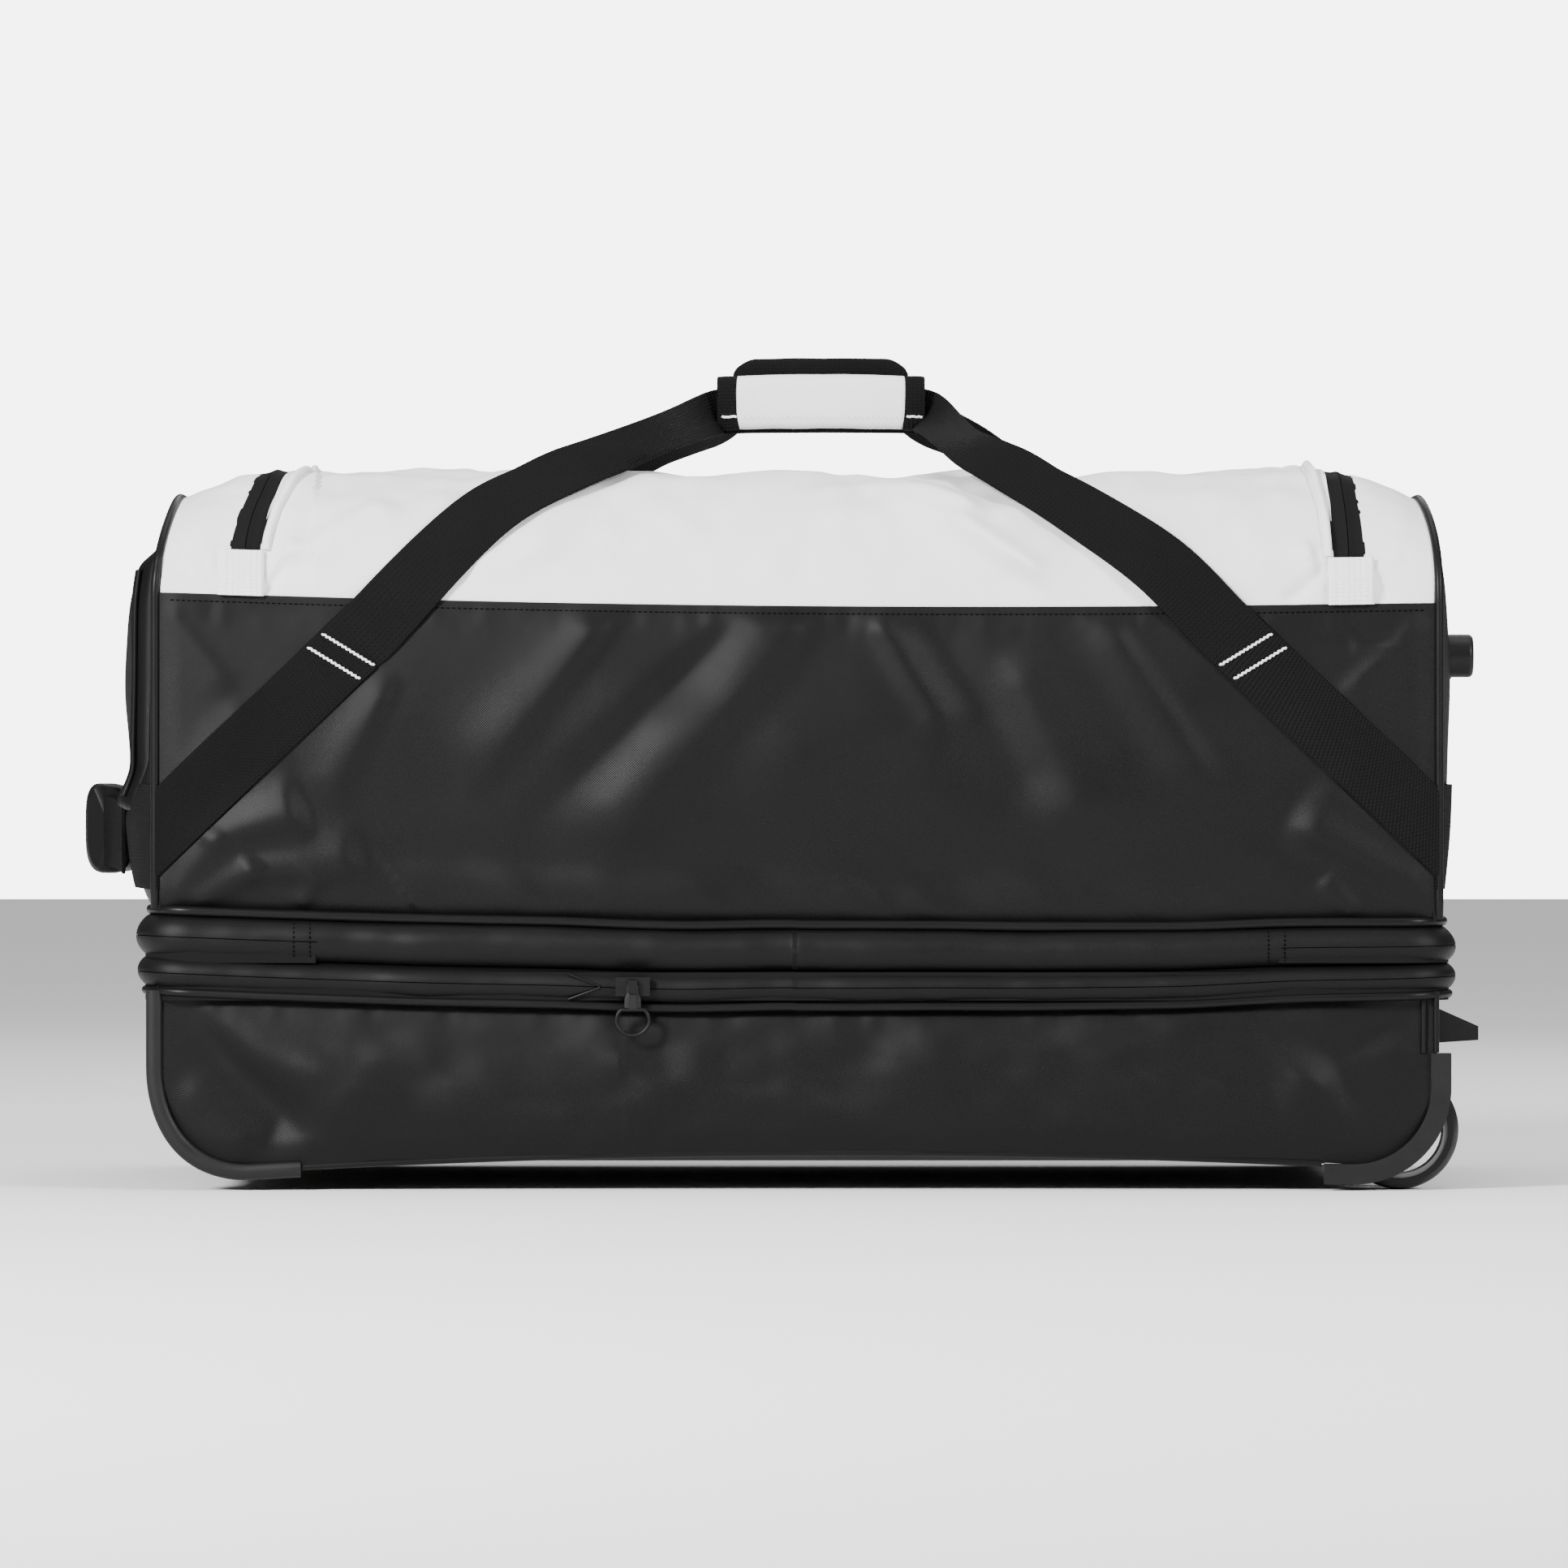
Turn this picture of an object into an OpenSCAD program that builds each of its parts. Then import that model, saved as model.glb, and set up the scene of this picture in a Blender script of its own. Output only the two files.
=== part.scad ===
// Wheeled split-level hockey equipment bag, as an assembly of separate sewn and moulded pieces.
// Axes: +X towards the wheel end, -Y towards the front (the side with the hinges), +Z up.
// Origin: on the floor, under the middle of the whole bag. All sizes are in millimetres.

/* [Main body] */
// Length of the long fabric panels between the two ends
body_l = 820; // [790:1:860]
// Depth of the bag over its front and back panels
body_d = 400; // [370:1:440]
// Height of the dome's top above the floor
top_z = 465; // [455:1:480]
// Height where the flat walls end and the dome starts
spring_z = 375; // [372:1:378]
// Thickness of a fabric wall with its lining
wall_t = 3; // [2.5:0.1:3.2]
// Height of the dome where it meets the end panels
end_top_z = 445; // [440:1:450]

/* [Lower compartment] */
// Height of the underside of the fabric above the floor
bottom_z = 16; // [15:0.5:17]
// Radius of the lower corner at the plain end, seen from the front
corner_r = 60; // [54:1:64]
// Radius of the lower corner at the wheel end, seen from the front
wheel_corner_r = 48; // [46:1:50]
// Thickness of the stiff board in the floor of the bag
board_t = 4; // [3:0.5:6]

/* [Bands and zips] */
// How far the two bands stand out from the body
band_out = 12; // [10:0.5:13]
// Thickness of the band fabric
band_t = 3; // [2.5:0.1:3]
// Height of the lower edge of the bands
band_low_z = 118; // [116:0.5:120]
// Height of the expansion zip
expand_z = 131; // [129:0.5:133]
// Height of the clamshell zip and of its front hinge
clam_z = 155; // [153:0.5:157]
// Height of the upper edge of the bands
band_top_z = 172; // [170:0.5:174]
// Radius of the bands' corners seen from above
band_r = 34; // [28:1:40]
// Width of one half of a zip tape
tape_w = 9; // [7:0.5:10]
// Thickness of a zip tape
tape_t = 1.2; // [1:0.1:1.4]
// Radius of the cord in the body piping
piping_r = 2.5; // [2:0.1:2.6]

/* [Lid] */
// Height of the fold line the lid turns on
lid_z = 405; // [400:1:410]
// Half length of the lid panel between its end zips
lid_half = 343; // [335:1:348]

/* [Straps and handles] */
// Width of the carry webbing
web_w = 40; // [36:1:44]
// Thickness of the carry webbing
web_t = 2.4; // [2:0.1:2.6]
// Height of the stitching where a carry loop leaves the body
tack_z = 340; // [335:1:345]
// Distance of that stitching from the middle of the body
tack_x = 291; // [280:1:300]
// Length of a hand grip
grip_l = 136; // [120:1:150]
// Height of a hand grip
grip_h = 36; // [34:1:38]
// Thickness of a hand grip
grip_t = 22; // [20:1:24]
// How far the grips sit off the middle of the body
grip_x = 16; // [0:1:30]
// Height of the middle of the front grip
front_grip_z = 512; // [508:1:516]
// Height of the middle of the back grip
back_grip_z = 525; // [521:1:529]
// How far the end handle reaches beyond the body
end_handle_out = 59; // [56:1:62]

/* [Wheels] */
// Radius of a wheel
wheel_r = 38.5; // [37:0.5:39]
// Width of a tyre
wheel_w = 24; // [20:1:26]
// Radius of an axle
axle_r = 4; // [3:0.5:5]
// Radial running clearance between a bearing and its axle
axle_gap = 0.05; // [0.02:0.01:0.1]
// Distance of a wheel's axle from the middle of the body
wheel_x = 387; // [385:0.5:389]
// Distance of a wheel's middle plane from the middle of the bag
wheel_y = 176; // [175:0.5:177]

/* [Hidden] */
$fn = 64;

half_l = body_l / 2;
half_d = body_d / 2;
dome_r = top_z - spring_z;
dome_c = half_d - dome_r;
end_squash = (end_top_z - spring_z) / dome_r;
band_l = half_l + band_out;
band_d = half_d + band_out;
// gap left between the two halves of a closed zip
seam_gap = 0.4;
// clearance that keeps sliders and loops off the fabric behind them
skin_gap = 0.4;
// gap left round a panel that is sewn in between others
sewn_gap = 0.2;
// width of the strip taken by both halves of the lid zip
zip_strip = 2 * tape_w + seam_gap;
// the end handle reaches furthest on one side and the upper feet on the other
foot_reach = 30.5;
shift_x = (end_handle_out - foot_reach) / 2;
// colours of the materials
black_fabric = [0.09, 0.09, 0.095];
white_fabric = [0.9, 0.9, 0.9];
black_web = [0.04, 0.04, 0.042];
black_plastic = [0.06, 0.06, 0.065];
grey_metal = [0.45, 0.45, 0.47];

// ---- shared shapes ----

module place() {
    translate([shift_x, 0, 0]) children();
}

module mirror_y() {
    children();
    mirror([0, 1, 0]) children();
}

module mirror_x() {
    children();
    mirror([1, 0, 0]) children();
}

// extrudes a (y, z) outline along X
module along_x(x0, x1) {
    translate([x0, 0, 0]) rotate([90, 0, 90]) linear_extrude(x1 - x0) children();
}

// extrudes an (x, z) outline along Y
module along_y(y0, y1) {
    translate([0, y1, 0]) rotate([90, 0, 0]) linear_extrude(y1 - y0) children();
}

// extrudes an (x, y) outline along Z
module along_z(z0, z1) {
    translate([0, 0, z0]) linear_extrude(z1 - z0) children();
}

module box(x0, x1, y0, y1, z0, z1) {
    translate([x0, y0, z0]) cube([x1 - x0, y1 - y0, z1 - z0]);
}

module rect(x0, x1, y0, y1) {
    translate([x0, y0]) square([x1 - x0, y1 - y0]);
}

// what has to be cut away to round a corner whose arc is centred on (cx, cy)
module corner_cut(cx, cy, sx, sy, r) {
    reach = r + 6;
    difference() {
        translate([sx < 0 ? cx - reach : cx, sy < 0 ? cy - reach : cy]) square(reach);
        translate([cx, cy]) circle(r = r);
    }
}

module round_rect(hx, hy, r) {
    difference() {
        square([2 * hx, 2 * hy], center = true);
        for (sx = [-1, 1])
            for (sy = [-1, 1])
                corner_cut(sx * (hx - r), sy * (hy - r), sx, sy, r);
    }
}

// flat shelf between a band and the square-cornered body inside it
module shelf() {
    difference() {
        round_rect(band_l - band_t, band_d - band_t, band_r - band_t);
        square([2 * (half_l - wall_t), 2 * (half_d - wall_t)], center = true);
    }
}

module ring(hx, hy, r, t) {
    difference() {
        round_rect(hx, hy, r);
        round_rect(hx - t, hy - t, r - t);
    }
}

// (y, z) outline of the upper body, moved inwards by o
module dome(o) {
    difference() {
        rect(-half_d + o, half_d - o, band_top_z, top_z - o);
        for (s = [-1, 1])
            corner_cut(s * dome_c, spring_z, s, 1, dome_r - o);
    }
}

module dome_wall() {
    difference() {
        dome(0);
        dome(wall_t);
    }
}

// (x, z) outline of the lower body, moved inwards by o
module tub(o) {
    difference() {
        rect(-half_l + o, half_l - o, bottom_z + o, band_low_z);
        corner_cut(-half_l + corner_r, bottom_z + corner_r, -1, -1, corner_r - o);
        corner_cut(half_l - wheel_corner_r, bottom_z + wheel_corner_r, 1, -1,
            wheel_corner_r - o);
    }
}

// a bead that follows a ring seen from above
module bead_ring(hx, hy, r, z, bead) {
    for (sx = [-1, 1])
        for (sy = [-1, 1])
            translate([sx * (hx - r), sy * (hy - r), z])
                rotate([0, 0, sx > 0 ? (sy > 0 ? 0 : 270) : (sy > 0 ? 90 : 180)])
                    rotate_extrude(angle = 90)
                        translate([r, 0]) circle(r = bead, $fn = 16);
    mirror_y() translate([-(hx - r), hy, z]) rotate([0, 90, 0])
        cylinder(r = bead, h = 2 * (hx - r), $fn = 16);
    mirror_x() translate([hx, -(hy - r), z]) rotate([-90, 0, 0])
        cylinder(r = bead, h = 2 * (hy - r), $fn = 16);
}

// ---- smooth paths for webbing ----

function unit(v) = v / norm(v);
function mix(a, b, t) = a + (b - a) * t;
function spline(p0, p1, p2, p3, t) =
    0.5 * ((2 * p1) + (p2 - p0) * t + (2 * p0 - 5 * p1 + 4 * p2 - p3) * t * t
    + (3 * p1 - p0 - 3 * p2 + p3) * t * t * t);
function at(p, i) = p[max(0, min(len(p) - 1, i))];
function smooth(p, n) = [for (i = [0 : n * (len(p) - 1)])
    let (k = min(floor(i / n), len(p) - 2), t = i / n - k)
    spline(at(p, k - 1), at(p, k), at(p, k + 1), at(p, k + 2), t)];
function tangent(p, i) = unit(at(p, i + 1) - at(p, i - 1));

// a strip of webbing along a path; each point of q holds a face direction, each of w a width
module ribbon(p, q, w, t) {
    n = len(p);
    corners = [for (i = [0 : n - 1])
        let (d = tangent(p, i), side = unit(cross(d, q[i])), face = unit(cross(side, d)))
        for (c = [[-1, -1], [1, -1], [1, 1], [-1, 1]])
            p[i] + side * c[0] * w[i] / 2 + face * c[1] * t / 2];
    walls = [for (i = [0 : n - 2]) for (j = [0 : 3])
        let (a = 4 * i + j, b = 4 * i + (j + 1) % 4)
        for (f = [[b + 4, a + 4, a], [b, b + 4, a]]) f];
    first = [[3, 2, 1, 0]];
    last = [[4 * n - 4, 4 * n - 3, 4 * n - 2, 4 * n - 1]];
    polyhedron(points = corners, faces = concat(first, walls, last), convexity = 6);
}

// ---- lower compartment ----

module base_board() {
    color([0.2, 0.2, 0.2]) place()
        along_z(bottom_z + wall_t, bottom_z + wall_t + board_t)
            round_rect(half_l - corner_r - 10, half_d - wall_t - 4, 12);
}

// centre, inner radius, width and reach of the guard over the wheel corner
guard_x = half_l - 53;
guard_z = 66;
guard_r = 49;
guard_w = 13;
guard_reach = 72;
trim_reach = 102;
housing_r = wheel_r + 7.5;
housing_t = 3.5;
housing_in = half_d - 4;
housing_out = wheel_y - wheel_w / 2 - 8;
wheel_space = housing_r - housing_t;

// quarter-round corner of radius r round the guard's centre, with straight sides
module guard_corner(r) {
    difference() {
        rect(0, guard_x + r, guard_z - r, band_low_z);
        corner_cut(guard_x, guard_z, 1, -1, r);
    }
}

// outline of the strip that covers the wheel corner's edge
module guard_outline(grow) {
    intersection() {
        difference() {
            guard_corner(guard_r + guard_w + grow);
            guard_corner(guard_r - grow);
        }
        rect(half_l - guard_reach - grow, half_l + 30, 0, bottom_z + guard_reach + grow);
    }
}

module lower_side() {
    along_y(-half_d, -half_d + wall_t)
        difference() {
            tub(0);
            guard_outline(0.5);
        }
}

module lower_front() {
    color(black_fabric) place() lower_side();
}

module lower_back() {
    color(black_fabric) place() mirror([0, 1, 0]) lower_side();
}

// one length of the strip, between x0 and x1
module strip_length(x0, x1) {
    inner = half_d - wall_t;
    difference() {
        along_y(-inner, inner)
            intersection() {
                difference() {
                    tub(0);
                    tub(wall_t);
                    rect(-half_l + wall_t, half_l - wall_t, band_low_z - 1, band_low_z + 1);
                }
                rect(x0, x1, 0, band_low_z);
            }
        mirror_y() box(half_l - guard_reach - 2, half_l + 1, -inner - 1, -housing_out + 0.5,
            bottom_z - 1, bottom_z + guard_reach + 2);
    }
}

// the plain end, the bottom and the wheel end, sewn together where the lower corners start
module bottom_strip() {
    plain_seam = -half_l + corner_r;
    wheel_seam = half_l - wheel_corner_r;
    color(black_fabric) place() {
        strip_length(-half_l, plain_seam);
        strip_length(plain_seam, wheel_seam);
        strip_length(wheel_seam, half_l);
    }
}

// piping of the base: along both long lower edges, and round the lower edge of the bands
module base_piping() {
    start = half_l - trim_reach - sewn_gap;
    stop = half_l - guard_reach - 2;
    color(black_plastic) place() {
        mirror_y() translate([-start, -half_d - 1.6, bottom_z - 1.6]) rotate([0, 90, 0])
            cylinder(r = 2, h = start + stop, $fn = 16);
        bead_ring(band_l + 0.5, band_d + 0.5, band_r, band_low_z - 2.9, piping_r);
    }
}

module corner_trims() {
    trim_out = 7;
    trim_w = 3;
    color(black_plastic) place()
        mirror_y() along_y(-half_d - 4, -half_d - 0.2)
            intersection() {
                difference() {
                    tub(-trim_out);
                    tub(trim_w);
                }
                rect(-half_l - 20, -half_l + trim_reach, 0, bottom_z + 90);
            }
}

module wheel_housing() {
    difference() {
        union() {
            along_y(-housing_in, -housing_out)
                intersection() {
                    translate([wheel_x, wheel_r]) circle(r = housing_r);
                    tub(wall_t);
                }
            along_y(-half_d - 4, -housing_in + housing_t) guard_outline(0);
        }
        along_y(-housing_in + housing_t, -housing_out - housing_t)
            translate([wheel_x, wheel_r]) circle(r = wheel_space);
        translate([wheel_x, -half_d - 5, wheel_r]) rotate([-90, 0, 0])
            cylinder(r = axle_r + axle_gap, h = 60);
    }
}

module wheel_housing_front() {
    color(black_plastic) place() wheel_housing();
}

module wheel_housing_back() {
    color(black_plastic) place() mirror([0, 1, 0]) wheel_housing();
}

module axles() {
    color(grey_metal) place()
        mirror_y() translate([wheel_x, -housing_in + 0.2, wheel_r]) rotate([-90, 0, 0])
            cylinder(r = axle_r, h = housing_in - housing_out - 0.4);
}

module bottom_skids() {
    skid_h = 6;
    color(black_plastic) place() {
        along_z(bottom_z - skid_h, bottom_z) translate([-162, 0]) round_rect(26, 130, 12);
        along_z(bottom_z - skid_h - 2, bottom_z) translate([275, 0]) round_rect(36, 120, 12);
    }
}

module bottom_handle() {
    low = bottom_z - 8;
    color(black_web) place()
        translate([64, 0, 0]) {
            box(-60, 60, -16, 16, low, low + web_t);
            mirror_x() box(60, 84, -16, 16, low, bottom_z);
        }
}

module lower_feet() {
    color(black_plastic) place()
        mirror_y() translate([0, -112, 0]) rotate([90, 0, 0]) linear_extrude(34)
            polygon([[half_l, 93], [half_l + foot_reach, 95], [half_l + foot_reach, 104],
                [half_l, band_low_z - 0.5]]);
}

module band_lower() {
    color(black_fabric) place() {
        along_z(band_low_z, expand_z - seam_gap / 2) ring(band_l, band_d, band_r, band_t);
        along_z(band_low_z, band_low_z + band_t) shelf();
    }
}

module expansion_tape(z0, z1) {
    along_z(z0, z1) ring(band_l - band_t, band_d - band_t, band_r - band_t, tape_t);
}

module expansion_tape_lower() {
    color(black_plastic) place()
        expansion_tape(expand_z - tape_w, expand_z - seam_gap / 2);
}

// ---- wheels ----

module at_wheel(side) {
    place() translate([wheel_x, side * wheel_y, wheel_r]) rotate([90, 0, 0]) children();
}

module tyre() {
    tread = 20;
    rotate_extrude($fn = 96)
        intersection() {
            rect(31, wheel_r + 1, -wheel_w / 2, wheel_w / 2);
            translate([wheel_r - tread, 0]) circle(r = tread);
        }
}

// rim and bearing seat joined by three spokes, with one wide gap turned down and outwards
module hub() {
    spoke_w = 9;
    rotate_extrude() rect(28, 31, -10, 10);
    rotate_extrude() rect(11, 13.5, -11, 11);
    for (a = [20, 140, 260])
        rotate([0, 0, a]) translate([12.5, -spoke_w / 2, -3]) cube([16, spoke_w, 6]);
}

module bearing_pair() {
    for (s = [-1, 1])
        translate([0, 0, s * 8])
            difference() {
                cylinder(r = 10.98, h = 7, center = true);
                cylinder(r = axle_r + axle_gap, h = 8, center = true);
            }
}

module tyre_front() {
    color(black_plastic) at_wheel(-1) tyre();
}

module tyre_back() {
    color(black_plastic) at_wheel(1) tyre();
}

module hub_front() {
    color([0.25, 0.25, 0.26]) at_wheel(-1) hub();
}

module hub_back() {
    color([0.25, 0.25, 0.26]) at_wheel(1) hub();
}

module bearings_front() {
    color(grey_metal) at_wheel(-1) bearing_pair();
}

module bearings_back() {
    color(grey_metal) at_wheel(1) bearing_pair();
}

// ---- middle band ----

// part of a band left out along the front, between the two ends of the clamshell zip
clam_stop = 308;

module band_mid() {
    color(black_fabric) place()
        along_z(expand_z + seam_gap / 2, clam_z - seam_gap / 2)
            ring(band_l, band_d, band_r, band_t);
}

module expansion_tape_upper() {
    color(black_plastic) place()
        expansion_tape(expand_z + seam_gap / 2, expand_z + tape_w);
}

module clamshell_tape(z0, z1) {
    difference() {
        along_z(z0, z1) ring(band_l - band_t, band_d - band_t, band_r - band_t, tape_t);
        box(-clam_stop, clam_stop, -band_d, 0, z0 - 1, z1 + 1);
    }
}

module clamshell_tape_lower() {
    color(black_plastic) place()
        clamshell_tape(clam_z - tape_w, clam_z - seam_gap / 2);
}

// folded strip inside the bands that lets the lower compartment grow when its zip is open
module expansion_gusset() {
    inset = band_t + tape_t + 1.4;
    color(black_fabric) place()
        along_z(band_low_z + band_t + 0.2, expand_z + tape_w)
            ring(band_l - inset, band_d - inset, band_r - inset, 1);
}

// ---- upper compartment ----

module divider() {
    color([0.15, 0.15, 0.16]) place()
        along_z(band_top_z - wall_t, band_top_z)
            round_rect(half_l - wall_t - sewn_gap, half_d - wall_t - sewn_gap, 3);
}

module upper_front() {
    color(black_fabric) place()
        box(-half_l, half_l, -half_d, -half_d + wall_t, band_top_z, spring_z);
}

module upper_back() {
    color(black_fabric) place()
        box(-half_l, half_l, half_d - wall_t, half_d, band_top_z, spring_z);
}

// (y, z) outline of an end panel, below the squashed end of the dome
module end_outline(o) {
    rect(-half_d + o, half_d - o, band_top_z, spring_z);
    translate([0, spring_z]) scale([1, end_squash]) translate([0, -spring_z])
        intersection() {
            dome(o);
            rect(-half_d, half_d, spring_z - 0.1, top_z);
        }
}

module end_left() {
    color(black_fabric) place() along_x(-half_l, -half_l + wall_t) end_outline(wall_t + 0.3);
}

module end_right() {
    color(black_fabric) place() along_x(half_l - wall_t, half_l) end_outline(wall_t + 0.3);
}

lid_back_z = lid_z + 10;
frame_half = lid_half + zip_strip;

module top_front() {
    color(white_fabric) place() along_x(-frame_half, frame_half)
        intersection() {
            dome_wall();
            rect(-half_d - 1, 0, spring_z, lid_z);
        }
}

module top_back() {
    color(white_fabric) place() along_x(-frame_half, frame_half)
        intersection() {
            dome_wall();
            rect(0, half_d + 1, spring_z, lid_back_z - zip_strip);
        }
}

// dome section beyond the lid, sloping down to the end panel
module end_dome(o, x_in, x_out) {
    hull($fn = 48) {
        along_x(x_in - 0.1, x_in) intersection() {
            dome(o);
            rect(-half_d, half_d, spring_z, top_z);
        }
        translate([0, 0, spring_z]) scale([1, 1, end_squash]) translate([0, 0, -spring_z])
            along_x(x_out, x_out + 0.1) intersection() {
                dome(o);
                rect(-half_d, half_d, spring_z, top_z);
            }
    }
}

module top_end() {
    difference() {
        end_dome(0, -frame_half, -half_l);
        translate([0, 0, -0.01]) end_dome(wall_t, -frame_half + 1, -half_l - 1);
    }
}

module top_left() {
    color(white_fabric) place() top_end();
}

module top_right() {
    color(white_fabric) place() mirror([1, 0, 0]) top_end();
}

function end_edge(o) = concat(
    [for (i = [0 : 6]) [-half_d - o, mix(band_top_z + 2 * piping_r + 2, spring_z, i / 6)]],
    [for (i = [1 : 10]) let (a = 180 - 90 * i / 10)
        [-dome_c + (dome_r + o) * cos(a), spring_z + (dome_r * end_squash + o) * sin(a)]]);
function mirrored(p) = concat(p, [for (i = [len(p) - 1 : -1 : 0]) [-p[i][0], p[i][1]]]);

module bead_loop(x, edge, r) {
    n = len(edge);
    sides = 10;
    rows = [for (i = [0 : n - 1])
        let (d = unit(at(edge, i + 1) - at(edge, i - 1)))
        for (j = [0 : sides - 1])
            let (a = 360 * j / sides)
            [x + r * cos(a), edge[i][0] - d[1] * r * sin(a), edge[i][1] + d[0] * r * sin(a)]];
    skin = [for (i = [0 : n - 2]) for (j = [0 : sides - 1])
        [sides * i + j, sides * i + (j + 1) % sides,
            sides * (i + 1) + (j + 1) % sides, sides * (i + 1) + j]];
    start = [[for (j = [sides - 1 : -1 : 0]) j]];
    stop = [[for (j = [0 : sides - 1]) sides * (n - 1) + j]];
    polyhedron(points = rows, faces = concat(start, skin, stop), convexity = 6);
}

module end_piping() {
    off = piping_r * 0.78;
    color(black_plastic) place()
        mirror_x()
            difference() {
                bead_loop(-half_l - off, mirrored(end_edge(off)), piping_r);
                box(-half_l - 10, -half_l + 10, -half_d - 10, half_d + 10, 190, 260);
            }
}

module band_upper() {
    color(black_fabric) place() {
        along_z(clam_z + seam_gap / 2, band_top_z) ring(band_l, band_d, band_r, band_t);
        along_z(band_top_z - band_t, band_top_z) shelf();
    }
}

module band_upper_piping() {
    color(black_plastic) place()
        bead_ring(band_l - 3, band_d - 3, band_r - band_out, band_top_z + piping_r + sewn_gap,
            piping_r);
}

module clamshell_tape_upper() {
    color(black_plastic) place()
        clamshell_tape(clam_z + seam_gap / 2, clam_z + tape_w);
}

// half of the lid zip that stays on the body: two legs over the dome and a run along the back
module lid_zip_frame() {
    color(black_plastic) place() {
        mirror_x() along_x(lid_half + tape_w + seam_gap, frame_half - 0.1)
            intersection() {
                dome_wall();
                rect(-half_d - 1, half_d + 1, lid_z + 0.1, top_z + 1);
            }
        along_x(-frame_half + 0.1, frame_half - 0.1)
            intersection() {
                dome_wall();
                rect(0, half_d + 1, lid_back_z - zip_strip, lid_back_z - tape_w - seam_gap);
            }
    }
}

// ---- sewn webbing, stitching, tabs ----

web_rise = 113;
web_a = atan2(web_rise, half_l - tack_x);
end_web_z = 200;

// diagonal run of webbing on a long panel, cut off at the panel's end
module web_diagonal() {
    end_z = tack_z - web_rise;
    reach = norm([half_l - tack_x, web_rise]);
    intersection() {
        translate([-half_l, end_z]) rotate(web_a)
            rect(-60, reach, -web_w / 2, web_w / 2);
        rect(-half_l - web_t, 0, 0, top_z);
    }
}

module webbing() {
    along_y(-half_d - web_t, -half_d) web_diagonal();
    along_y(half_d, half_d + web_t) web_diagonal();
    box(-half_l - web_t, -half_l, -half_d - web_t / 2, half_d + web_t / 2,
        end_web_z, end_web_z + web_w);
}

module webbing_left() {
    color(black_web) place() webbing();
}

module webbing_right() {
    color(black_web) place() mirror([1, 0, 0]) webbing();
}

// two rows of contrast stitching across each strap, just below where the loop comes free
module bartacks() {
    color(white_fabric) place()
        mirror_x() mirror_y()
            for (k = [8, 20])
                along_y(-half_d - web_t - 0.6, -half_d - web_t)
                    translate([-tack_x, tack_z]) rotate(web_a)
                        rect(-k - 1, -k + 1, -web_w / 2 + 3, web_w / 2 - 3);
}

module zip_tabs() {
    tab_w = 30;
    tab_h = 29;
    color(white_fabric) place()
        mirror_x() translate([-lid_half - tape_w - tab_w / 2, 0, 0])
            along_x(0, tab_w)
                intersection() {
                    difference() {
                        dome(-1.5);
                        dome(-0.02);
                    }
                    rect(-half_d - 3, 0, lid_z - tab_h, lid_z);
                }
}

// ---- end pocket ----

pocket_out = 28;
pocket_half = 150;
pocket_low = 243;
pocket_high = 408;

module pocket_block(o) {
    difference() {
        along_z(pocket_low + o, pocket_high - o)
            round_rect(pocket_out - o, pocket_half - o, 20 - o);
        translate([-pocket_out, 0, pocket_high]) rotate([0, 45, 0])
            cube([14 + 2 * o, 400, 14 + 2 * o], center = true);
    }
}

// bulging pocket sewn to the plain end, open in front of its zip
module pocket_shell() {
    color(black_fabric) place()
        translate([-half_l, 0, 0])
            difference() {
                pocket_block(0);
                pocket_block(2.4);
                box(0, 100, -200, 200, 0, 600);
                box(-pocket_out - 5, -pocket_out + 5, -111, -101, pocket_low + 14,
                    pocket_high - 26);
            }
}

module pocket_zip() {
    color(black_plastic) place()
        translate([-half_l - pocket_out, 0, 0])
            box(0.2, 1.6, -110.8, -101.2, pocket_low + 14.2, pocket_high - 26.2);
}

module upper_feet() {
    foot_z = 344;
    foot_r = 14;
    edge_r = 3;
    color(black_plastic) place()
        mirror_y() translate([half_l, -96, foot_z]) rotate([0, 90, 0])
            rotate_extrude()
                intersection() {
                    rect(0, foot_r, 0, foot_reach);
                    union() {
                        rect(0, foot_r, 0, foot_reach - edge_r);
                        rect(0, foot_r - edge_r, 0, foot_reach);
                        translate([foot_r - edge_r, foot_reach - edge_r]) circle(r = edge_r);
                    }
                }
}

// ---- lid ----

module lid_panel() {
    color(white_fabric) place() along_x(-lid_half, lid_half)
        intersection() {
            dome_wall();
            union() {
                rect(-half_d - 1, 0, lid_z + seam_gap, top_z + 1);
                rect(-0.5, half_d + 1, lid_back_z, top_z + 1);
            }
        }
}

module lid_tape() {
    color(black_plastic) place() {
        mirror_x() along_x(lid_half, lid_half + tape_w)
            intersection() {
                dome_wall();
                union() {
                    rect(-half_d - 1, 0, lid_z + seam_gap, top_z + 1);
                    rect(-0.5, half_d + 1, lid_back_z, top_z + 1);
                }
            }
        along_x(-lid_half - tape_w, lid_half + tape_w)
            intersection() {
                dome_wall();
                rect(0, half_d + 1, lid_back_z - tape_w, lid_back_z);
            }
    }
}

// cord along both ends of the lid, beside the zip
module lid_piping() {
    color(white_fabric) place()
        mirror_x() along_x(lid_half - 6, lid_half - 2)
            intersection() {
                difference() {
                    dome(-2);
                    dome(-0.02);
                }
                union() {
                    rect(-half_d - 3, 0, lid_z + 4, top_z + 3);
                    rect(-0.5, half_d + 3, lid_back_z + 2, top_z + 3);
                }
            }
}

// ---- carry loops ----

// where the loop leaves the stitching, and its run over the dome to the grip
face_y = -half_d - web_t / 2 - skin_gap;
front_y = -22;
back_y = 22;

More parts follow.
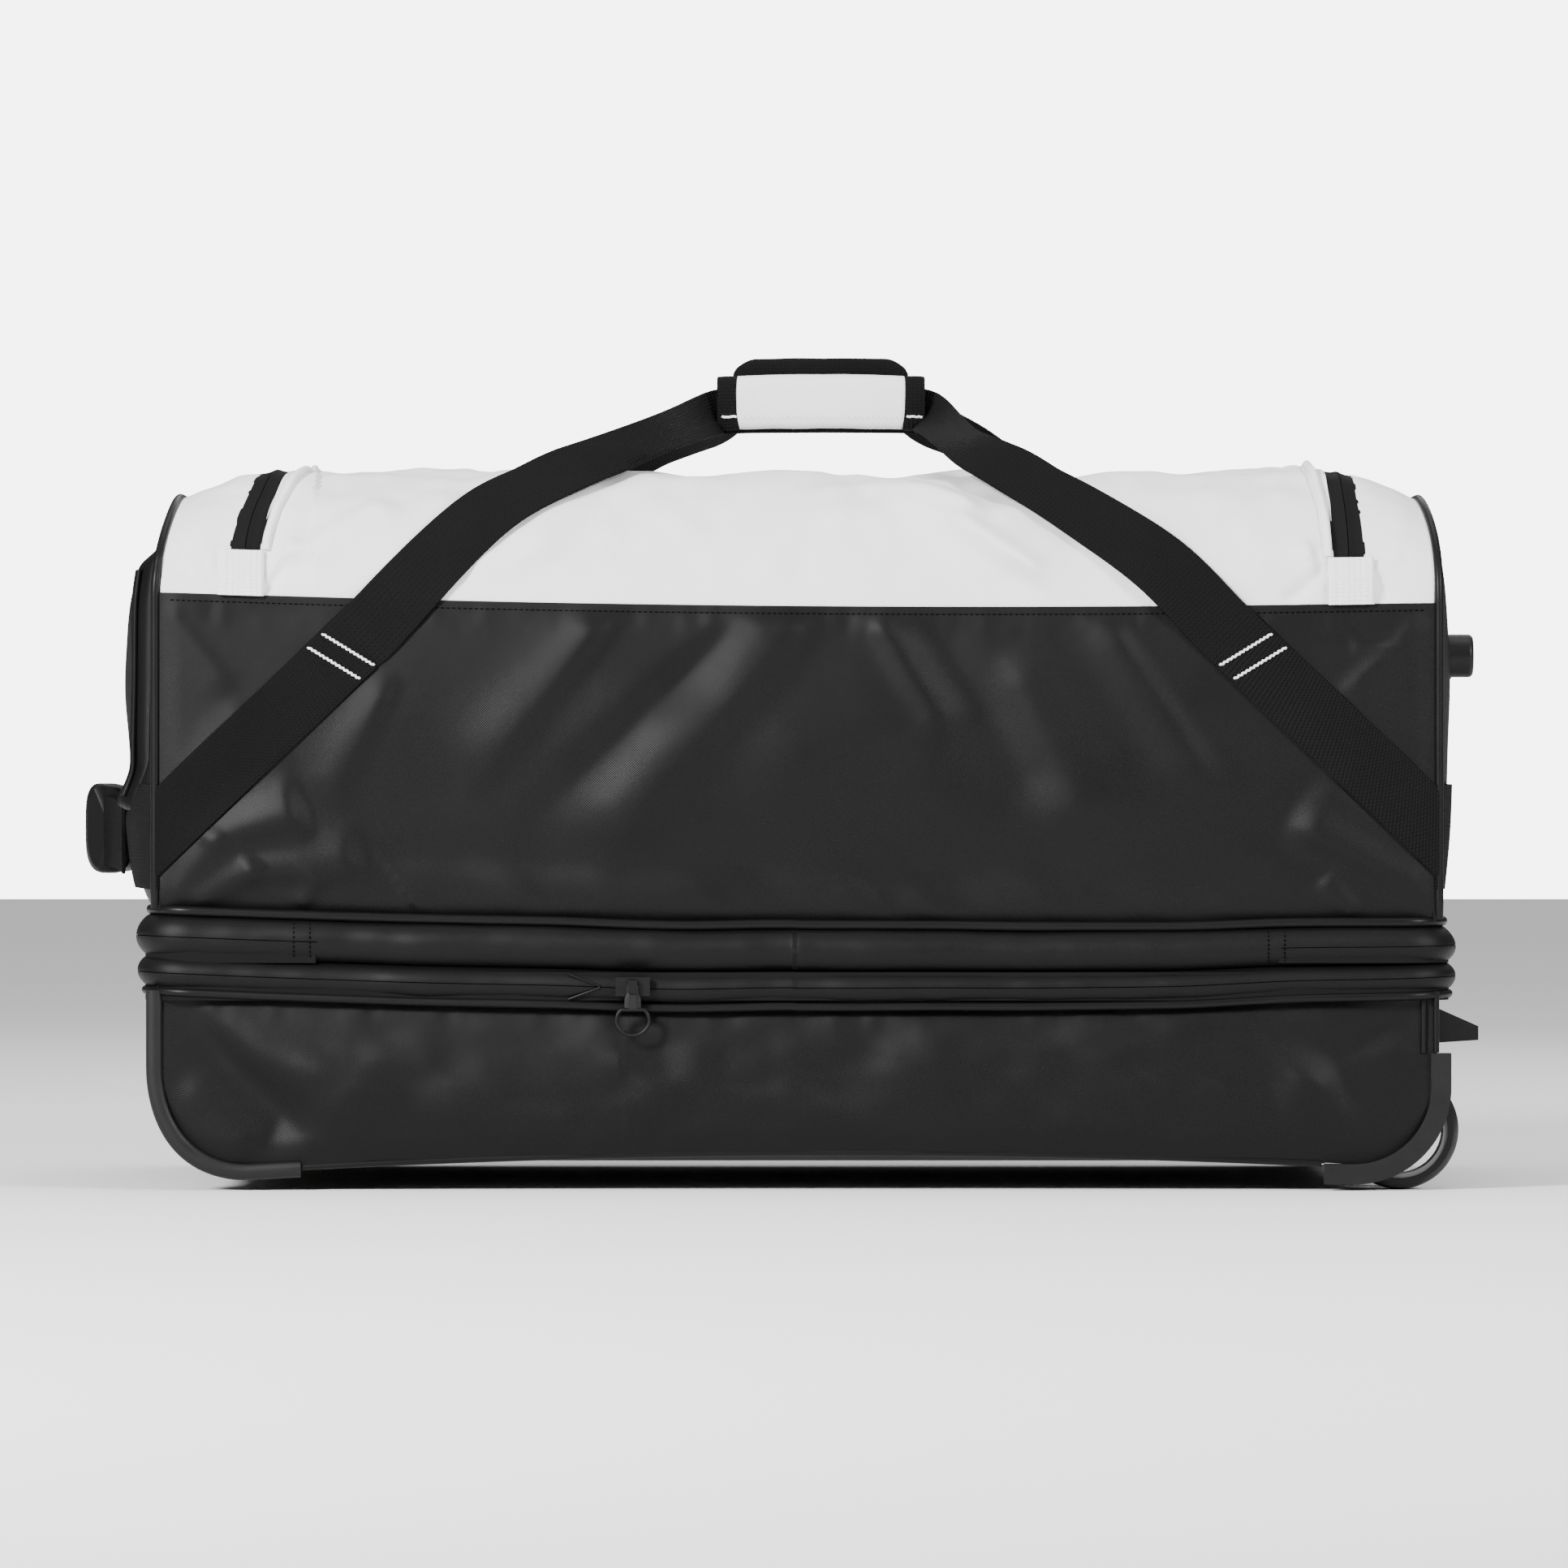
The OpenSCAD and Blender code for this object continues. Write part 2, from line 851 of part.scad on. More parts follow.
function over_dome(a, lift) = [-dome_c - (dome_r + lift) * sin(a), spring_z + (dome_r + lift) * cos(a)];
function front_half(side) =
    let (w = 4.6, n = over_dome(72, w), p = over_dome(55, w), q = over_dome(31, w),
        r = over_dome(14, w), gx = grip_x + side * grip_l / 2)
    [[side * (tack_x - 3), face_y, tack_z + 4],
     [side * (tack_x - 37), face_y - 1.4, spring_z + 3],
     [side * (tack_x - 62), n[0] - 0.6, n[1]],
     [side * (tack_x - 86), p[0] - 1, p[1] + 1],
     [side * (tack_x - 122), q[0], q[1] + 1],
     [mix(side * (tack_x - 150), gx, 0.12), r[0] + 4, r[1] + 5],
     [mix(side * (tack_x - 150), gx, 0.55), -92, top_z + 17],
     [gx + side * 16, front_y - 14, front_grip_z - 8],
     [gx + side * 3, front_y - 3, front_grip_z - 1],
     [gx - side * 20, front_y, front_grip_z]];
function back_half(side) =
    let (gx = grip_x + side * grip_l / 2)
    [[side * (tack_x - 3), -face_y, tack_z + 4],
     [side * (tack_x - 37), -face_y + 1, spring_z + 5],
     [side * (tack_x - 76), half_d + 1, spring_z + 50],
     [side * (tack_x - 108), half_d - 16, top_z + 2],
     [mix(side * (tack_x - 140), gx, 0.12), 142, top_z + 33],
     [mix(side * (tack_x - 140), gx, 0.55), 90, back_grip_z - 11],
     [gx + side * 14, back_y + 11, back_grip_z - 4],
     [gx + side * 3, back_y + 2, back_grip_z - 0.5],
     [gx - side * 20, back_y, back_grip_z]];

function backwards(p) = [for (i = [len(p) - 1 : -1 : 0]) p[i]];
function loop_path(a, b) = concat(a, backwards(b));
function loop_faces(p, sy) = [for (v = p)
    let (t = min(1, max(0, (v[2] - spring_z) / (top_z + 16 - spring_z))),
        g = min(1, max(0, (v[2] - top_z - 10) / 34)),
        a = mix(0, 62, t) * (1 - g))
    [0, sy * cos(a), sin(a)]];
function loop_widths(p) = [for (v = p)
    mix(web_w, web_w * 0.6, min(1, max(0, (v[2] - top_z) / 30)))];

module loop(halves, sy) {
    p = smooth(halves, 6);
    ribbon(p, loop_faces(p, sy), loop_widths(p), web_t);
}

module grip(y, z) {
    translate([0, y, z])
        along_x(grip_x - grip_l / 2, grip_x + grip_l / 2)
            ring(grip_t / 2, grip_h / 2, 9, 3);
}

module front_loop() {
    color(black_web) place() loop(loop_path(front_half(-1), front_half(1)), -1);
}

module back_loop() {
    color(black_web) place() loop(loop_path(back_half(-1), back_half(1)), 1);
}

module front_grip() {
    color(white_fabric) place() grip(front_y, front_grip_z);
}

module back_grip() {
    color(black_fabric) place() grip(back_y, back_grip_z);
}

// ---- end handle ----

handle_z = 229;

function handle_half(side) = [
    [-half_l - web_t - skin_gap - 1.4, side * 118, handle_z - 6],
    [-half_l - web_t - 12, side * 102, handle_z - 4],
    [-half_l - end_handle_out + 20, side * 72, handle_z],
    [-half_l - end_handle_out + 13, side * 34, handle_z]];

module end_handle_web() {
    p = smooth(loop_path(handle_half(-1), handle_half(1)), 5);
    color(black_web) place()
        ribbon(p, [for (v = p) [-1, 0, 0.0001]], [for (v = p) 24], web_t);
}

module end_handle_wrap() {
    color(black_fabric) place()
        translate([-half_l - end_handle_out + 13, 0, handle_z + 2])
            rotate([90, 0, 0]) translate([0, 0, -62])
                linear_extrude(124)
                    difference() {
                        round_rect(13, 29, 11);
                        translate([0, -1]) round_rect(6, 20, 4);
                    }
}

// ---- zip sliders and pulls ----

slider_w = 11;
slider_h = 12;
slider_d = 5;

// slider body with the bridge its pull hangs on, standing off a face that looks along -Y
module slider() {
    difference() {
        union() {
            box(-slider_w, slider_w, -slider_d, 0, -slider_h / 2, slider_h / 2);
            box(-3, 3, -slider_d - 5, -slider_d + 1, -4, 4);
        }
        translate([-4, -slider_d - 2, 0]) rotate([0, 90, 0]) cylinder(r = 1.8, h = 8, $fn = 24);
    }
}

// pull that hangs from the bridge: a bar through it, two cheeks, a tab and a finger loop
module pull(loop_r) {
    tab = 14;
    difference() {
        union() {
            translate([-6, -slider_d - 2, 0]) rotate([0, 90, 0])
                cylinder(r = 1.3, h = 12, $fn = 24);
            mirror_x() box(3.6, 6, -slider_d - 3.4, -slider_d - 0.9, -8, 1.3);
            box(-6, 6, -slider_d - 3.4, -slider_d - 0.9, -tab, -6);
            translate([0, -slider_d - 0.9, -tab - loop_r + 2]) rotate([90, 0, 0])
                cylinder(r = loop_r, h = 2.5, $fn = 40);
        }
        translate([0, -slider_d, -tab - loop_r + 2]) rotate([90, 0, 0])
            cylinder(r = loop_r - 3, h = 8, $fn = 40);
    }
}

slider_x = -105;
lid_slider_x = 130;
clam_slider_x = 280;

module on_front(z) {
    place() translate([slider_x, -band_d - skin_gap, z]) children();
}

module on_back(x, y, z) {
    place() translate([x, y + skin_gap, z]) rotate([0, 0, 180]) children();
}

module expansion_slider() {
    color(grey_metal) on_front(expand_z) slider();
}

module expansion_pull() {
    color(black_plastic) on_front(expand_z) pull(10);
}

module lid_slider() {
    color(grey_metal) on_back(lid_slider_x, half_d - 3, lid_back_z - tape_w) slider();
}

module lid_pull() {
    color(black_plastic) on_back(lid_slider_x, half_d - 3, lid_back_z - tape_w) pull(10);
}

module clamshell_slider() {
    color(grey_metal) on_back(clam_slider_x, band_d, clam_z) slider();
}

module clamshell_pull() {
    color(black_plastic) on_back(clam_slider_x, band_d, clam_z) pull(10);
}

base_board();
lower_front();
lower_back();
bottom_strip();
base_piping();
corner_trims();
wheel_housing_front();
wheel_housing_back();
axles();
bottom_skids();
lower_feet();
band_lower();
expansion_tape_lower();
bottom_handle();
tyre_front();
hub_front();
bearings_front();
tyre_back();
hub_back();
bearings_back();
band_mid();
expansion_tape_upper();
clamshell_tape_lower();
expansion_gusset();
divider();
upper_front();
upper_back();
end_left();
end_right();
top_front();
top_back();
top_left();
top_right();
end_piping();
band_upper();
band_upper_piping();
clamshell_tape_upper();
lid_zip_frame();
webbing_left();
webbing_right();
bartacks();
zip_tabs();
pocket_shell();
pocket_zip();
upper_feet();
lid_panel();
lid_tape();
lid_piping();
front_loop();
front_grip();
back_loop();
back_grip();
end_handle_web();
end_handle_wrap();
expansion_slider();
expansion_pull();
lid_slider();
lid_pull();
clamshell_slider();
clamshell_pull();
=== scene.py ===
import math

import bpy
import numpy as np
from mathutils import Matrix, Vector


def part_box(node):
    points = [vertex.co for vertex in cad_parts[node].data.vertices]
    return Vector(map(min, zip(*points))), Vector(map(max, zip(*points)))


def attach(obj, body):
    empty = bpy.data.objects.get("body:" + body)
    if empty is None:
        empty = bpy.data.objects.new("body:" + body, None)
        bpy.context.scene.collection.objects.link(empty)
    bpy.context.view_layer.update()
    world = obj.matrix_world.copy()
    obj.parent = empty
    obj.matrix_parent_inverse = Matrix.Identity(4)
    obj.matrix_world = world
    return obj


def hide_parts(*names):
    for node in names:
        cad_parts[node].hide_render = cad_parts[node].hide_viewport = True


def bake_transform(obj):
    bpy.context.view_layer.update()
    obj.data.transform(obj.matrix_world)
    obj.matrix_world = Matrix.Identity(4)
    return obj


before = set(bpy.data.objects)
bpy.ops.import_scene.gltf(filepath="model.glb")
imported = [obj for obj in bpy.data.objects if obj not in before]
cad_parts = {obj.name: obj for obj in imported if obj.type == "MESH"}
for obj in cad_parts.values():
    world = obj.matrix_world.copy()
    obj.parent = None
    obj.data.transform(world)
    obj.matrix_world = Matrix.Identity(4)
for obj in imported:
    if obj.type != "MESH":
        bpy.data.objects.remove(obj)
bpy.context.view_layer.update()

# ---------------------------------------------------------------- driving sizes, in millimetres
# The soft pieces are drawn in millimetres with X measured from the middle of the body.


def corners(node):
    """Low and high corner of a CAD node's box, in millimetres."""
    low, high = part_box(node)
    return np.array(low) * 1000, np.array(high) * 1000


def stacked(*parts):
    """Points from their coordinates, each spread over the others' shape."""
    return np.stack(np.broadcast_arrays(*parts), -1)


def run_lengths(points):
    """Length along a line of points, from its first point."""
    return np.concatenate([[0], np.cumsum(np.linalg.norm(np.diff(points, axis=0), axis=-1))])


def belongs(obj, body, slot=None, *stands_for):
    """Say which body a piece rides on and hide the CAD nodes that it stands for; slot is not used."""
    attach(obj, body)
    if stands_for:
        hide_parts(*stands_for)


PANEL_LOW, PANEL_HIGH = corners("upper_front")
MIDDLE = (PANEL_LOW[0] + PANEL_HIGH[0]) / 2
HALF_L = (PANEL_HIGH[0] - PANEL_LOW[0]) / 2
HALF_D = -PANEL_LOW[1]
BAND_TOP = PANEL_LOW[2]
SEAM = PANEL_HIGH[2]
LID_LOW, LID_HIGH = corners("lid_panel")
DOME_TOP = LID_HIGH[2]
DOME_R = DOME_TOP - SEAM
LID_HALF = (LID_HIGH[0] - LID_LOW[0]) / 2
LID_FOLD = LID_LOW[2]
END_TOP = corners("end_left")[1][2] + 3
CLAM = corners("band_upper")[0][2]
EXPAND = corners("band_mid")[0][2]
BAND_LOW = corners("band_lower")[0][2]
BAND_L = (corners("band_upper")[1][0] - corners("band_upper")[0][0]) / 2
BAND_D = corners("band_upper")[1][1]
DIVIDER_TOP = corners("divider")[1][2]
DIVIDER_D = corners("divider")[1][1]
BOTTOM = corners("lower_front")[0][2]
CORNER_R = 60.0  # lower corner at the plain end, seen from the front
WHEEL_CORNER_R = 48.0  # lower corner at the wheel end
CREASE = 142.0  # height of the crease between the two padded bands
WEB_W, WEB_T = 42.0, 2.4  # carry webbing
TACK_X, TACK_Z = 291.0, 342.0  # where the bar tacks end the sewn webbing
GUARD_X, GUARD_Z, GUARD_R, GUARD_TOP = HALF_L - 53, 66.0, 49.0, BOTTOM + 72  # wheel corner guard
WALL = 2.4  # padded body cloth
LID_CLOTH = 2.2
ZIP_CLOTH = 1.2
LINER = 0.8  # thin lining cloth

# lengths along the outline of the upper body, from the foot of the front panel over the dome
S_SEAM = SEAM - BAND_TOP
S_TOP = S_SEAM + DOME_R * math.pi / 2
S_BACK_TOP = S_TOP + 2 * (HALF_D - DOME_R)
S_BACK_SEAM = S_BACK_TOP + DOME_R * math.pi / 2
S_END = S_BACK_SEAM + S_SEAM
S_FOLD = S_SEAM + DOME_R * math.asin((LID_FOLD - SEAM) / DOME_R)
S_ZIP = S_BACK_SEAM - DOME_R * math.asin((LID_FOLD + 10 - SEAM) / DOME_R)
ZIP_W = 20.0


def smooth(t):
    t = np.clip(t, 0, 1)
    return t * t * (3 - 2 * t)


def noise(x, y, scale, seed):
    """Smooth random values from -1 to 1 over a plane."""
    table = np.random.RandomState(seed).rand(128, 128) * 2 - 1
    gx, gy = np.asarray(x, float) / scale + 640, np.asarray(y, float) / scale + 640
    ix, iy = np.floor(gx).astype(int), np.floor(gy).astype(int)
    fx, fy = smooth(gx - ix), smooth(gy - iy)
    ix, iy = ix % 127, iy % 127
    low = table[ix, iy] * (1 - fx) + table[ix + 1, iy] * fx
    high = table[ix, iy + 1] * (1 - fx) + table[ix + 1, iy + 1] * fx
    return low * (1 - fy) + high * fy


def fold(x, y, start, end, width, height, lean=1.0):
    """Height of one soft fold from start to end; lean makes one flank steeper than the other."""
    dx, dy = end[0] - start[0], end[1] - start[1]
    length = math.hypot(dx, dy)
    along = ((x - start[0]) * dx + (y - start[1]) * dy) / length**2
    across = ((x - start[0]) * dy - (y - start[1]) * dx) / length
    flank = 1.3 * np.where(across > 0, width * lean, width / lean) * (0.7 + 0.5 * np.clip(along, 0, 1))
    ends = smooth((along + 0.15) / 0.3) * smooth((1.15 - along) / 0.3)
    return height * ends * np.exp(-((across / flank) ** 2))


def folds(x, y, shapes):
    """Height of several folds together."""
    return sum(fold(x, y, *shape) for shape in shapes)


def sag(x, z):
    """How far the soft body droops or lifts, by height."""
    u = np.clip(np.asarray(x, float) / HALF_L, -1.05, 1.05)
    z = np.asarray(z, float)
    under = 9 - 13 * u**2 + 2 * u
    low = -1.5 + 9 * u**2 - 0.8 * u
    mid = -2 + 5.7 * u**2 - 3.4 * u
    top = -4 + 4 * u**2
    levels = [(BOTTOM, under), (BAND_LOW, low), (BAND_TOP, mid), (SEAM, mid), (DOME_TOP, top)]
    levels.append((DOME_TOP + 14, 0 * u))
    out = levels[0][1] + 0 * z
    for (z0, _), (z1, shift) in zip(levels, levels[1:]):
        t = smooth((z - z0) / (z1 - z0))
        out = out * (1 - t) + shift * t
    return out


def level(x, z):
    """Height before sagging of a point that ends up at height z."""
    return z - sag(x, z)


def to_row(points, droop=True):
    """Points in the shared frame, in metres; droop lets the body's sag carry them."""
    p = np.array(points, float)
    if droop:
        p[..., 2] += sag(p[..., 0], p[..., 2])
    p[..., 0] += MIDDLE
    return p * 0.001


# ---------------------------------------------------------------- materials


def new_material(name, colour, roughness, specular=0.5):
    m = bpy.data.materials.new(name)
    m.use_nodes = True
    bsdf = m.node_tree.nodes["Principled BSDF"]
    bsdf.inputs["Base Color"].default_value = (*colour, 1)
    bsdf.inputs["Roughness"].default_value = roughness
    bsdf.inputs["Specular IOR Level"].default_value = specular
    return m, m.node_tree, bsdf


def math_node(tree, operation, a, b=None):
    n = tree.nodes.new("ShaderNodeMath")
    n.operation = operation
    for socket, value in zip(n.inputs, (a, b)):
        if value is None:
            continue
        if isinstance(value, (int, float)):
            socket.default_value = value
        else:
            tree.links.new(value, socket)
    return n.outputs[0]


def weave_height(tree, pitch, kind="plain"):
    """Height of a weave drawn in the piece's own flat coordinates, which are in metres."""
    uv = tree.nodes.new("ShaderNodeUVMap").outputs[0]
    split = tree.nodes.new("ShaderNodeSeparateXYZ")
    tree.links.new(uv, split.inputs[0])
    u, v = split.outputs[0], split.outputs[1]
    turn = 2 * math.pi / pitch
    if kind == "rib":
        cross = math_node(tree, "SINE", math_node(tree, "MULTIPLY", v, turn))
        slope = math_node(tree, "MULTIPLY", u, turn * 0.8)
        skew = math_node(tree, "ADD", slope, math_node(tree, "MULTIPLY", cross, 0.9))
        ribs = math_node(tree, "SINE", skew)
        return math_node(tree, "ADD", ribs, math_node(tree, "MULTIPLY", cross, 0.5))
    a = math_node(tree, "SINE", math_node(tree, "MULTIPLY", u, turn))
    b = math_node(tree, "SINE", math_node(tree, "MULTIPLY", v, turn))
    return math_node(tree, "MULTIPLY", a, b)


def soft_noise(tree, scale, detail=3.0):
    place = tree.nodes.new("ShaderNodeTexCoord")
    n = tree.nodes.new("ShaderNodeTexNoise")
    n.inputs["Scale"].default_value = scale
    n.inputs["Detail"].default_value = detail
    tree.links.new(place.outputs["Object"], n.inputs["Vector"])
    return n.outputs["Fac"]


def remap(tree, value, low, high):
    n = tree.nodes.new("ShaderNodeMapRange")
    n.inputs["From Min"].default_value = 0.3
    n.inputs["From Max"].default_value = 0.7
    n.inputs["To Min"].default_value = low
    n.inputs["To Max"].default_value = high
    tree.links.new(value, n.inputs["Value"])
    return n.outputs[0]


def bump(tree, bsdf, heights):
    normal = None
    for height, distance in heights:
        b = tree.nodes.new("ShaderNodeBump")
        b.inputs["Distance"].default_value = distance
        b.inputs["Strength"].default_value = 1.0
        tree.links.new(height, b.inputs["Height"])
        if normal is not None:
            tree.links.new(normal, b.inputs["Normal"])
        normal = b.outputs[0]
    tree.links.new(normal, bsdf.inputs["Normal"])


def cloth_material(name, colour, roughness, specular, pitch, weave, crumple, kind="plain", wear=0.06):
    """Woven cloth: weave and crumple are bump heights in metres, wear a share of the colour."""
    m, tree, bsdf = new_material(name, colour, roughness, specular)
    heights = [(soft_noise(tree, 42.0, 4.0), crumple)]
    if weave:
        heights.append((weave_height(tree, pitch, kind), weave))
    bump(tree, bsdf, heights)
    rubbed = remap(tree, soft_noise(tree, 14.0), roughness - 0.05, roughness + 0.07)
    tree.links.new(rubbed, bsdf.inputs["Roughness"])
    tone = tree.nodes.new("ShaderNodeMix")
    tone.data_type = "RGBA"
    tree.links.new(remap(tree, soft_noise(tree, 9.0, 6.0), 0.0, 1.0), tone.inputs["Factor"])
    tone.inputs[6].default_value = (*[c * (1 - wear) for c in colour], 1)
    tone.inputs[7].default_value = (*[min(1, c * (1 + wear)) for c in colour], 1)
    tree.links.new(tone.outputs[2], bsdf.inputs["Base Color"])
    return m


PLAIN = 0.0016  # pitch of the plain weaves, in metres
BLACK = cloth_material("coated_black", (0.0032, 0.0032, 0.0034), 0.44, 0.155, PLAIN, 0.00005, 0.0003)
WHITE = cloth_material("coated_white", (0.84, 0.84, 0.835), 0.58, 0.30, PLAIN, 0.00003, 0.0006, wear=0.02)
WEBBING = cloth_material(
    "webbing_black", (0.0042, 0.0042, 0.0045), 0.8, 0.1, 0.0022, 0.0003, 0.0002, "rib", 0.15)
WHITE_WEB = cloth_material(
    "webbing_white", (0.95, 0.95, 0.94), 0.75, 0.2, 0.0026, 0.0003, 0.0002, "rib", 0.02)
LINING = cloth_material("lining", (0.045, 0.045, 0.048), 0.7, 0.2, 0.0012, 0.00005, 0.0004)
TAPE = cloth_material("zip_tape", (0.006, 0.006, 0.0063), 0.8, 0.08, 0.0012, 0.00004, 0.0001)
CORD = cloth_material("piping_black", (0.0040, 0.0040, 0.0042), 0.38, 0.16, PLAIN, 0.0, 0.0002)
THREAD = cloth_material("thread_black", (0.0015, 0.0015, 0.0015), 0.8, 0.04, PLAIN, 0.0, 0.0001)
GREY_THREAD = cloth_material("thread_grey", (0.55, 0.55, 0.54), 0.7, 0.3, PLAIN, 0.0, 0.0001)
WHITE_THREAD = cloth_material("thread_white", (0.86, 0.86, 0.83), 0.7, 0.3, PLAIN, 0.0, 0.0001)


def plastic_material(name, colour, roughness, grain):
    m, tree, bsdf = new_material(name, colour, roughness, 0.22)
    bump(tree, bsdf, [(soft_noise(tree, 1400.0, 2.0), grain)])
    rubbed = remap(tree, soft_noise(tree, 60.0, 5.0), roughness - 0.06, roughness + 0.1)
    tree.links.new(rubbed, bsdf.inputs["Roughness"])
    return m


PLASTIC = plastic_material("plastic_black", (0.008, 0.008, 0.0085), 0.42, 0.00008)
HUB = plastic_material("hub_grey", (0.16, 0.16, 0.165), 0.4, 0.00005)
RUBBER = plastic_material("tyre_rubber", (0.007, 0.007, 0.0075), 0.45, 0.00004)
METAL, _tree, _bsdf = new_material("metal_black", (0.015, 0.015, 0.016), 0.42)
_bsdf.inputs["Metallic"].default_value = 0.85
STEEL, _tree, _bsdf = new_material("steel", (0.55, 0.55, 0.56), 0.25)
_bsdf.inputs["Metallic"].default_value = 1.0

# ---------------------------------------------------------------- mesh builders


def add_mesh(name, verts, quads, materials, uv=None, face_material=None, sharp=50):
    me = bpy.data.meshes.new(name)
    quads = np.asarray(quads, np.int32)
    me.vertices.add(len(verts))
    me.vertices.foreach_set("co", np.asarray(verts, np.float32).ravel())
    me.loops.add(quads.size)
    me.loops.foreach_set("vertex_index", quads.ravel())
    me.polygons.add(len(quads))
    me.polygons.foreach_set("loop_start", np.arange(0, quads.size, 4, dtype=np.int32))
    me.polygons.foreach_set("loop_total", np.full(len(quads), 4, np.int32))
    me.update(calc_edges=True)
    if uv is not None:
        layer = me.uv_layers.new(name="UVMap")
        layer.data.foreach_set("uv", np.asarray(uv, np.float32)[quads.ravel()].ravel())
    for m in materials:
        me.materials.append(m)
    if face_material is not None:
        me.polygons.foreach_set("material_index", np.asarray(face_material, np.int32))
    me.polygons.foreach_set("use_smooth", np.ones(len(quads), bool))
    me.validate()
    me.set_sharp_from_angle(angle=math.radians(sharp))
    obj = bpy.data.objects.new(name, me)
    bpy.context.scene.collection.objects.link(obj)
    return obj


def grid_normals(p, wrap=False):
    du = np.roll(p, -1, 0) - np.roll(p, 1, 0) if wrap else np.gradient(p, axis=0)
    dv = np.gradient(p, axis=1)
    n = np.cross(du, dv)
    return n / np.maximum(np.linalg.norm(n, axis=-1, keepdims=True), 1e-12)


def sheet(name, p, thickness, outer, inner=None, keep=None, wrap=False, flip=False, droop=True):
    """A closed wall of cloth: the grid p is its outer face, in millimetres."""
    n = grid_normals(p, wrap) * (-1 if flip else 1)
    q = p - n * thickness
    nu, nv = p.shape[:2]
    rows = np.arange(nu)
    nxt = np.roll(rows, -1) if wrap else rows[1:]
    cur = rows if wrap else rows[:-1]
    idx = np.arange(nu * nv).reshape(nu, nv)
    a, b, c, d = idx[cur][:, :-1], idx[nxt][:, :-1], idx[nxt][:, 1:], idx[cur][:, 1:]
    cells = np.ones(a.shape, bool) if keep is None else keep
    top = np.stack([a, b, c, d], -1)
    if flip:
        top = top[..., ::-1]
    bottom = top[..., ::-1] + nu * nv
    faces = [top[cells], bottom[cells]]
    pad = np.zeros((cells.shape[0] + 2, cells.shape[1] + 2), bool)
    pad[1:-1, 1:-1] = cells
    if wrap:
        pad[0], pad[-1] = pad[-2], pad[1]
    sides = [(pad[:-2, 1:-1], 3, 0), (pad[2:, 1:-1], 1, 2), (pad[1:-1, :-2], 0, 1), (pad[1:-1, 2:], 2, 3)]
    ring = np.stack([a, b, c, d], -1)
    for neighbour, i, j in sides:
        open_edge = cells & ~neighbour
        e0, e1 = ring[open_edge][:, i], ring[open_edge][:, j]
        if flip:
            e0, e1 = e1, e0
        faces.append(np.stack([e1, e0, e0 + nu * nv, e1 + nu * nv], -1))
    quads = np.concatenate(faces)
    which = np.zeros(len(quads), int)
    materials = [outer]
    if inner is not None:
        materials.append(inner)
        which[len(faces[0]) : len(faces[0]) + len(faces[1])] = 1
    lu = np.linalg.norm(np.diff(p, axis=0), axis=-1).mean(1)
    lv = np.linalg.norm(np.diff(p, axis=1), axis=-1).mean(0)
    u = np.concatenate([[0], np.cumsum(lu)])
    v = np.concatenate([[0], np.cumsum(lv)])
    uv = np.stack(np.meshgrid(u, v, indexing="ij"), -1).reshape(-1, 2) * 0.001
    verts = np.concatenate([p.reshape(-1, 3), q.reshape(-1, 3)])
    return add_mesh(name, to_row(verts, droop), quads, materials, np.concatenate([uv, uv]), which)


def sweep(name, path, section, material, closed=False, up=None, droop=True):
    """A section carried along a path; section is (across, out) pairs, up the direction of out."""
    path = np.asarray(path, float)
    n = len(path)
    if closed:
        tan = np.roll(path, -1, 0) - np.roll(path, 1, 0)
    else:
        tan = np.gradient(path, axis=0)
    tan /= np.linalg.norm(tan, axis=1, keepdims=True)
    if up is None:
        up = np.zeros_like(path)
        up[:, 2] = 1
    up = np.broadcast_to(np.asarray(up, float), path.shape)
    side = np.cross(tan, up)
    side /= np.maximum(np.linalg.norm(side, axis=1, keepdims=True), 1e-9)
    face = np.cross(side, tan)
    sec = np.asarray(section, float)
    sec = np.broadcast_to(sec, (n, *sec.shape)) if sec.ndim == 2 else sec
    p = path[:, None] + side[:, None] * sec[..., :1] + face[:, None] * sec[..., 1:]
    if not closed:
        first, last = p[:1].mean(1, keepdims=True), p[-1:].mean(1, keepdims=True)
        p = np.concatenate([first + (p[:1] - first) * 0.02, p, last + (p[-1:] - last) * 0.02])
    m, k = p.shape[:2]
    idx = np.arange(m * k).reshape(m, k)
    cur = idx if closed else idx[:-1]
    nxt = np.roll(idx, -1, 0) if closed else idx[1:]
    quads = np.stack([cur, np.roll(cur, -1, 1), np.roll(nxt, -1, 1), nxt], -1).reshape(-1, 4)
    steps, girth = run_lengths(p[:, 0]), run_lengths(p[m // 2])
    uv = np.stack(np.meshgrid(steps, girth, indexing="ij"), -1).reshape(-1, 2) * 0.001
    return add_mesh(name, to_row(p.reshape(-1, 3), droop), quads, [material], uv, sharp=60)


def disc(radius, sides=12):
    a = np.arange(sides) * 2 * math.pi / sides
    return stacked(radius * np.cos(a), radius * np.sin(a))


def band_section(width, thickness):
    """Webbing cut across, a little fuller in its middle."""
    w, t = width / 2, thickness / 2
    half = [(-w, 0), (-w + 0.5, t), (-w * 0.5, t * 1.05), (0, t * 1.05)]
    half += [(w * 0.5, t * 1.05), (w - 0.5, t), (w, 0)]
    return np.array(half + [(x, -y) for x, y in half[-2:0:-1]])


